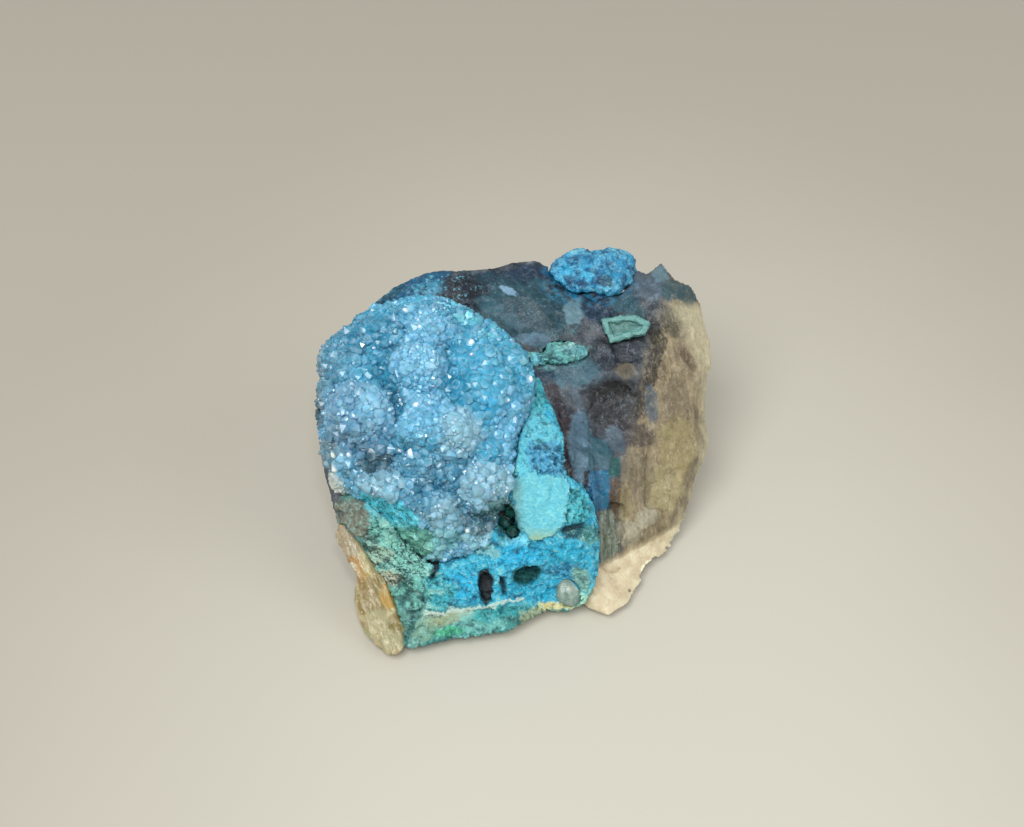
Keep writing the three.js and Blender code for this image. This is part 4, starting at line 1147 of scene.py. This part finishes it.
foot = {
    "voxel": 0.17,
    "grown": 0.15,
    "lean": radians(-24),
    "seeThrough": 0.15,
    "soft": {"weight": 0.5, "depth": 0.8 * mm},
    "patches": {
        "pink top": ((-16.0, 0.2, 1.2, 1.9, 25), 0.85, "rose grey"),
        "orange bend": (([(-15.2, -1.2), (-14.6, -2.5), (-14.2, -4.2)], 0.8), 0.75, "amber"),
        "white knob": ((-15.4, -2.0, 0.5, 0.5), 0.8, "ivory"),
        "yellow body": ((-13.3, -4.9, 1.6, 2.2), 0.8, "mustard"),
        "olive side": ((-11.5, -4.6, 1.2, 1.4, -10), 0.8, "honey"),
        "pale low": ((-12.8, -7.6, 1.6, 1.5), 0.8, "pale straw"),
        "brown shade": ((-11.0, -7.2, 0.9, 0.9), 0.8, "mustard"),
        "tip": ((-11.1, -9.0, 1.4, 1.0), 0.8, "pale straw"),
    },
}


def footRelief(graph, place, outward):
    along = graph.wobbled(place, 1.4, 0.8).turned("Z_AXIS", foot["lean"])
    folds = graph.noise(along, (0.6, 4.0, 1.2), 2.0) * 0.24
    return folds + graph.noise(place, 0.5, 2.0) * 0.06 + foot["grown"], {}


def footFinish(graph, place):
    along = graph.wobbled(place, 1.4, 1.0).turned("Z_AXIS", foot["lean"])
    bands = graph.noise(along, (0.35, 3.0, 1.0), 3.0)
    cloud = graph.noise(place, 0.9, 4.0)
    colour = graph.blend(bands.rise(-0.8, 0.8), tone(158, 146, 102), tone(204, 194, 152))
    colour = graph.painted(graph.wobbled(place, 1.2, 1.2), colour, foot["patches"], cloud * 0.2)
    pale = graph.veins(along, (0.8, 3.0, 1.0), 0.14, 2.0, 4.0)
    stains = graph.noise(graph.wobbled(place, 1.4, 1.5), 1.5, 4.0, 3.0)
    colour = graph.coated(
        colour,
        (pale * 0.45, (222, 216, 186)),
        (stains.rise(0.2, 1.0) * 0.4, (150, 104, 62)),
        (stains.rise(-0.3, -1.0) * 0.5, (206, 202, 178)),
        (graph.specks(place, 0.6, 0.16) * 0.6, (236, 236, 220)),
    )
    surface(graph, **{
        "Base Color": shaded(colour, bands * 0.08 + cloud * 0.1),
        "Roughness": 0.3,
        "IOR": 1.53,
        "Transmission Weight": foot["seeThrough"],
        "Subsurface Weight": foot["soft"]["weight"],
        "Subsurface Scale": foot["soft"]["depth"],
        "Normal": graph.bump(bands * 0.06 + cloud * 0.03),
    })


dress("chalcedony_foot", "chalcedony_foot_skin", "chalcedony", foot, footRelief, footFinish)


# Blue cap crust and turquoise ridge: grape-like grains.

cap = {
    "voxel": 0.16,
    "grown": -0.04,
    "uneven": 0.34,
    "warts": {"size": 1.0, "height": 0.26},
    "light": (134, 206, 222),
    "mid": (54, 138, 180),
    "dark": (14, 48, 80),
    "patches": {
        "left": ((6.6, 27.3, 1.8, 1.4), 0.4, "vivid blue"),
        "right": ((11.3, 27.7, 1.6, 1.2), 0.4, "blue shade"),
        "dark": ((9.7, 26.5, 0.7, 0.5), 0.8, "navy"),
    },
}
ridge = {
    "voxel": 0.14,
    "grown": -0.07,
    "uneven": 0.4,
    "warts": {"size": 0.6, "height": 0.26},
    "light": (170, 220, 212),
    "mid": (98, 166, 164),
    "dark": (44, 78, 84),
    "patches": {
        "left bit": ((2.6, 18.4, 0.8, 0.6), 0.6, "pale blue"),
        "right bit": ((6.6, 19.3, 1.2, 0.7), 0.4, "dull blue"),
    },
}


def grapeRelief(plan):
    def recipe(graph, place, outward):
        uneven = graph.wobbled(place, 1.2, 2.4)
        wart = (1.0 - graph.cells(uneven, plan["warts"]["size"]) * 1.3).atLeast(-0.2)
        rough = graph.noise(place, 1.1, 5.0)
        height = wart * plan["warts"]["height"] + rough * plan["uneven"]
        # hollow marks the low ground between the warts, kept for the painted shade there
        return height + plan["grown"], {"hollow": (wart + rough * 0.5).rise(0.4, -0.1)}

    return recipe


def grapeFinish(plan):
    def recipe(graph, place):
        folded = graph.wobbled(place, 1.2, 2.0)
        blocks = graph.noise(folded, 1.7, 5.0, 2.0)
        fine = graph.noise(place, 0.25, 3.0)
        colour = graph.blend(blocks.rise(0.0, 0.7), tone(*plan["mid"]), tone(*plan["light"]))
        colour = graph.painted(folded, colour, plan["patches"], fine * 0.2 + blocks * 0.3)
        rough = graph.ridges(folded, 0.9, 4.0, 3.0) + fine * 0.5
        # darker blocks; painted highlight on the crests of the grains, painted shade between them and
        # in the hollows between the warts
        colour = graph.coated(
            colour,
            (blocks.rise(-0.1, -0.7) * 0.8, plan["dark"]),
            (rough.rise(0.4, 1.2) * 0.35, (156, 214, 224)),
            (rough.rise(-0.2, -1.2) * 0.75, plan["dark"]),
            (graph.stored("hollow") * 0.7, plan["dark"]),
        )
        surface(graph, **{
            "Base Color": shaded(colour, fine * 0.22),
            "Roughness": 0.55,
            "Normal": graph.bump(fine * 0.06),
        })

    return recipe


for plan, node, name, slot in (
    (cap, "blue_cap_crust", "blue_cap_skin", "blue_crust"),
    (ridge, "turquoise_ridge", "turquoise_ridge_skin", "turquoise_ridge"),
):
    dress(node, name, slot, plan, grapeRelief(plan), grapeFinish(plan))


# Tabular crystal: grey-green inside a raised turquoise border.

plate = {
    "voxel": 0.12,
    "grown": 0.12,
    "inner": [(10.0, 21.0), (10.6, 21.0), (12.2, 21.4), (13.2, 21.8), (12.8, 22.3), (11.4, 22.5),
              (9.9, 22.1)],
}


def plateRelief(graph, place, outward):
    inner = graph.region(graph.wobbled(place, 0.7, 0.4), plate["inner"])
    rough = graph.noise(place, 0.9, 4.0) * 0.24
    return rough + plate["grown"] - inner * 0.05, {}


def plateFinish(graph, place):
    inner = graph.region(graph.wobbled(place, 0.7, 0.4), plate["inner"], 0.12)
    fine = graph.noise(place, 0.3, 3.0)
    cloud = graph.noise(place, 1.0, 4.0)
    worn = (inner + fine * 0.4 + cloud * 0.5).rise(0.1, 0.9)
    colour = graph.blend(worn, tone(104, 152, 148), tone(84, 124, 120))
    colour = graph.coated(
        colour,
        (cloud.rise(-0.1, -0.8) * 0.6, (58, 92, 94)),
        (fine.rise(0.4, 1.1) * 0.5, (160, 200, 190)),
        (fine.rise(-0.4, -1.0) * 0.5, (44, 74, 78)),
    )
    surface(graph, **{
        "Base Color": shaded(colour, fine * 0.18),
        "Roughness": 0.4,
        "Normal": graph.bump(fine * 0.05),
    })


dress("tabular_crystal", "tabular_crystal_skin", "tabular_crystal", plate, plateRelief, plateFinish)


# Clear quartz chip, blue where the crust shows through its left side.

chip = {
    "voxel": 0.1,
    "grown": 0.1,
    "seeThrough": 0.25,
    "clearSide": [(4.3, -6.0), (7.2, -6.0), (6.8, -4.4), (5.6, -3.1), (4.1, -2.8), (4.4, -4.4)],
}


def chipRelief(graph, place, outward):
    return graph.noise(place, 1.4, 2.0) * 0.08 + chip["grown"], {}


def chipFinish(graph, place):
    clear = graph.region(graph.wobbled(place, 0.8, 0.4), chip["clearSide"], 0.12)
    cloud = graph.noise(place, 0.7, 4.0)
    blue = graph.blend(place.part("Y").rise(-5.2, -3.4), tone(70, 178, 184), tone(16, 158, 204))
    colour = graph.blend(clear, blue, graph.blend(
        cloud.rise(-0.7, 0.8), tone(112, 142, 136), tone(168, 180, 166)
    ))
    surface(graph, **{
        "Base Color": shaded(colour, cloud * 0.1),
        "Roughness": 0.22,
        "IOR": quartzIor,
        "Transmission Weight": chip["seeThrough"],
        "Normal": graph.bump(cloud * 0.04),
    })


dress("clear_quartz_chip", "clear_chip_skin", "clear_quartz", chip, chipRelief, chipFinish)


# Dioptase: deep green, glassy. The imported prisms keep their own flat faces.

dioptase = {"bend": 1.65, "seeThrough": 0.3, "gloss": 0.12}


def dioptaseFinish(graph, place):
    depth = graph.noise(place, 0.7, 3.0)
    colour = graph.blend(depth.rise(-0.6, 0.8), tone(10, 46, 44), tone(30, 92, 80))
    # pale veins, painted highlights on the dark green
    colour = graph.coated(colour, (graph.veins(place, 0.5, 0.2) * 0.4, (84, 128, 118)))
    surface(graph, **{
        "Base Color": colour,
        "Roughness": dioptase["gloss"],
        "IOR": dioptase["bend"],
        "Transmission Weight": dioptase["seeThrough"],
        "Normal": graph.bump(depth * 0.02),
    })


dioptaseNode = nodes["dioptase_crystals"]
dioptaseNode.data.materials.clear()
dioptaseNode.data.materials.append(newMaterial("dioptase", dioptaseFinish))
print("dioptase_crystals dressed")


# Stage, light and camera.

stage = {
    "size": 1.6,
    "bright": tone(186, 183, 171),
    "dim": tone(165, 160, 148),
    "glow": 0.1,
    # a painted pool of light on the floor
    "pool": (12.0, -22.0, 62.0, 70.0),  # the brighter middle, as an ellipse on the face
    "room": {"Color": (1.0, 0.99, 0.97, 1.0), "Strength": 0.52},
}


def floorFinish(graph, place):
    # painted pool of light: the floor lighter in the middle and dimmer further out
    reach = graph.flatReach(place, *stage["pool"]) + graph.noise(place, 30.0, 2.0) * 0.05
    colour = graph.blend(reach.rise(0.2, 1.3), stage["bright"], stage["dim"])
    surface(graph, **{
        "Base Color": colour,
        "Roughness": 0.9,
        "Emission Color": colour,
        "Emission Strength": stage["glow"],
    })


bpy.ops.object.select_all(action="DESELECT")
bpy.ops.mesh.primitive_plane_add(size=stage["size"], location=(0, 0, 0))
floor = bpy.context.object
floor.name = "pale_floor"
floor.data.materials.append(newMaterial("pale floor", floorFinish))

world = bpy.data.worlds.new("soft room")
bpy.context.scene.world = world
world.use_nodes = True
for name, value in stage["room"].items():
    world.node_tree.nodes["Background"].inputs[name].default_value = value

softBoxes = {
    "over": {"at": (-0.15, -0.26, 0.44), "size": 0.3, "power": 2.2},
    "right": {"at": (0.35, -0.2, 0.3), "size": 0.3, "power": 0.6},
    "glint": {"at": (0.05, -0.35, 0.45), "size": 0.04, "power": 0.5},
}
for name, box in softBoxes.items():
    bpy.ops.object.light_add(type="AREA", location=box["at"])
    light = bpy.context.object
    light.name = name + "_softbox"
    light.data.size = box["size"]
    light.data.energy = box["power"]
    aim = Vector((0, 0, 0.01)) - light.location
    light.rotation_euler = aim.to_track_quat("-Z", "Y").to_euler()

# the camera looks straight at the face
view = {"x": 0.1, "u": 12.95, "distance": 176.7, "lens": 60.0, "sensor": 36.0}
eye = onFace(view["x"], view["u"], view["distance"])
bpy.ops.object.camera_add(location=eye, rotation=(face["lean"], 0, 0))
camera = bpy.context.object
camera.name = "show_camera"
camera.data.lens = view["lens"]
camera.data.sensor_width = view["sensor"]
camera.data.clip_start = 0.01
bpy.context.scene.camera = camera
bpy.context.scene.view_settings.view_transform = "Standard"
print("stage, lights and camera set")
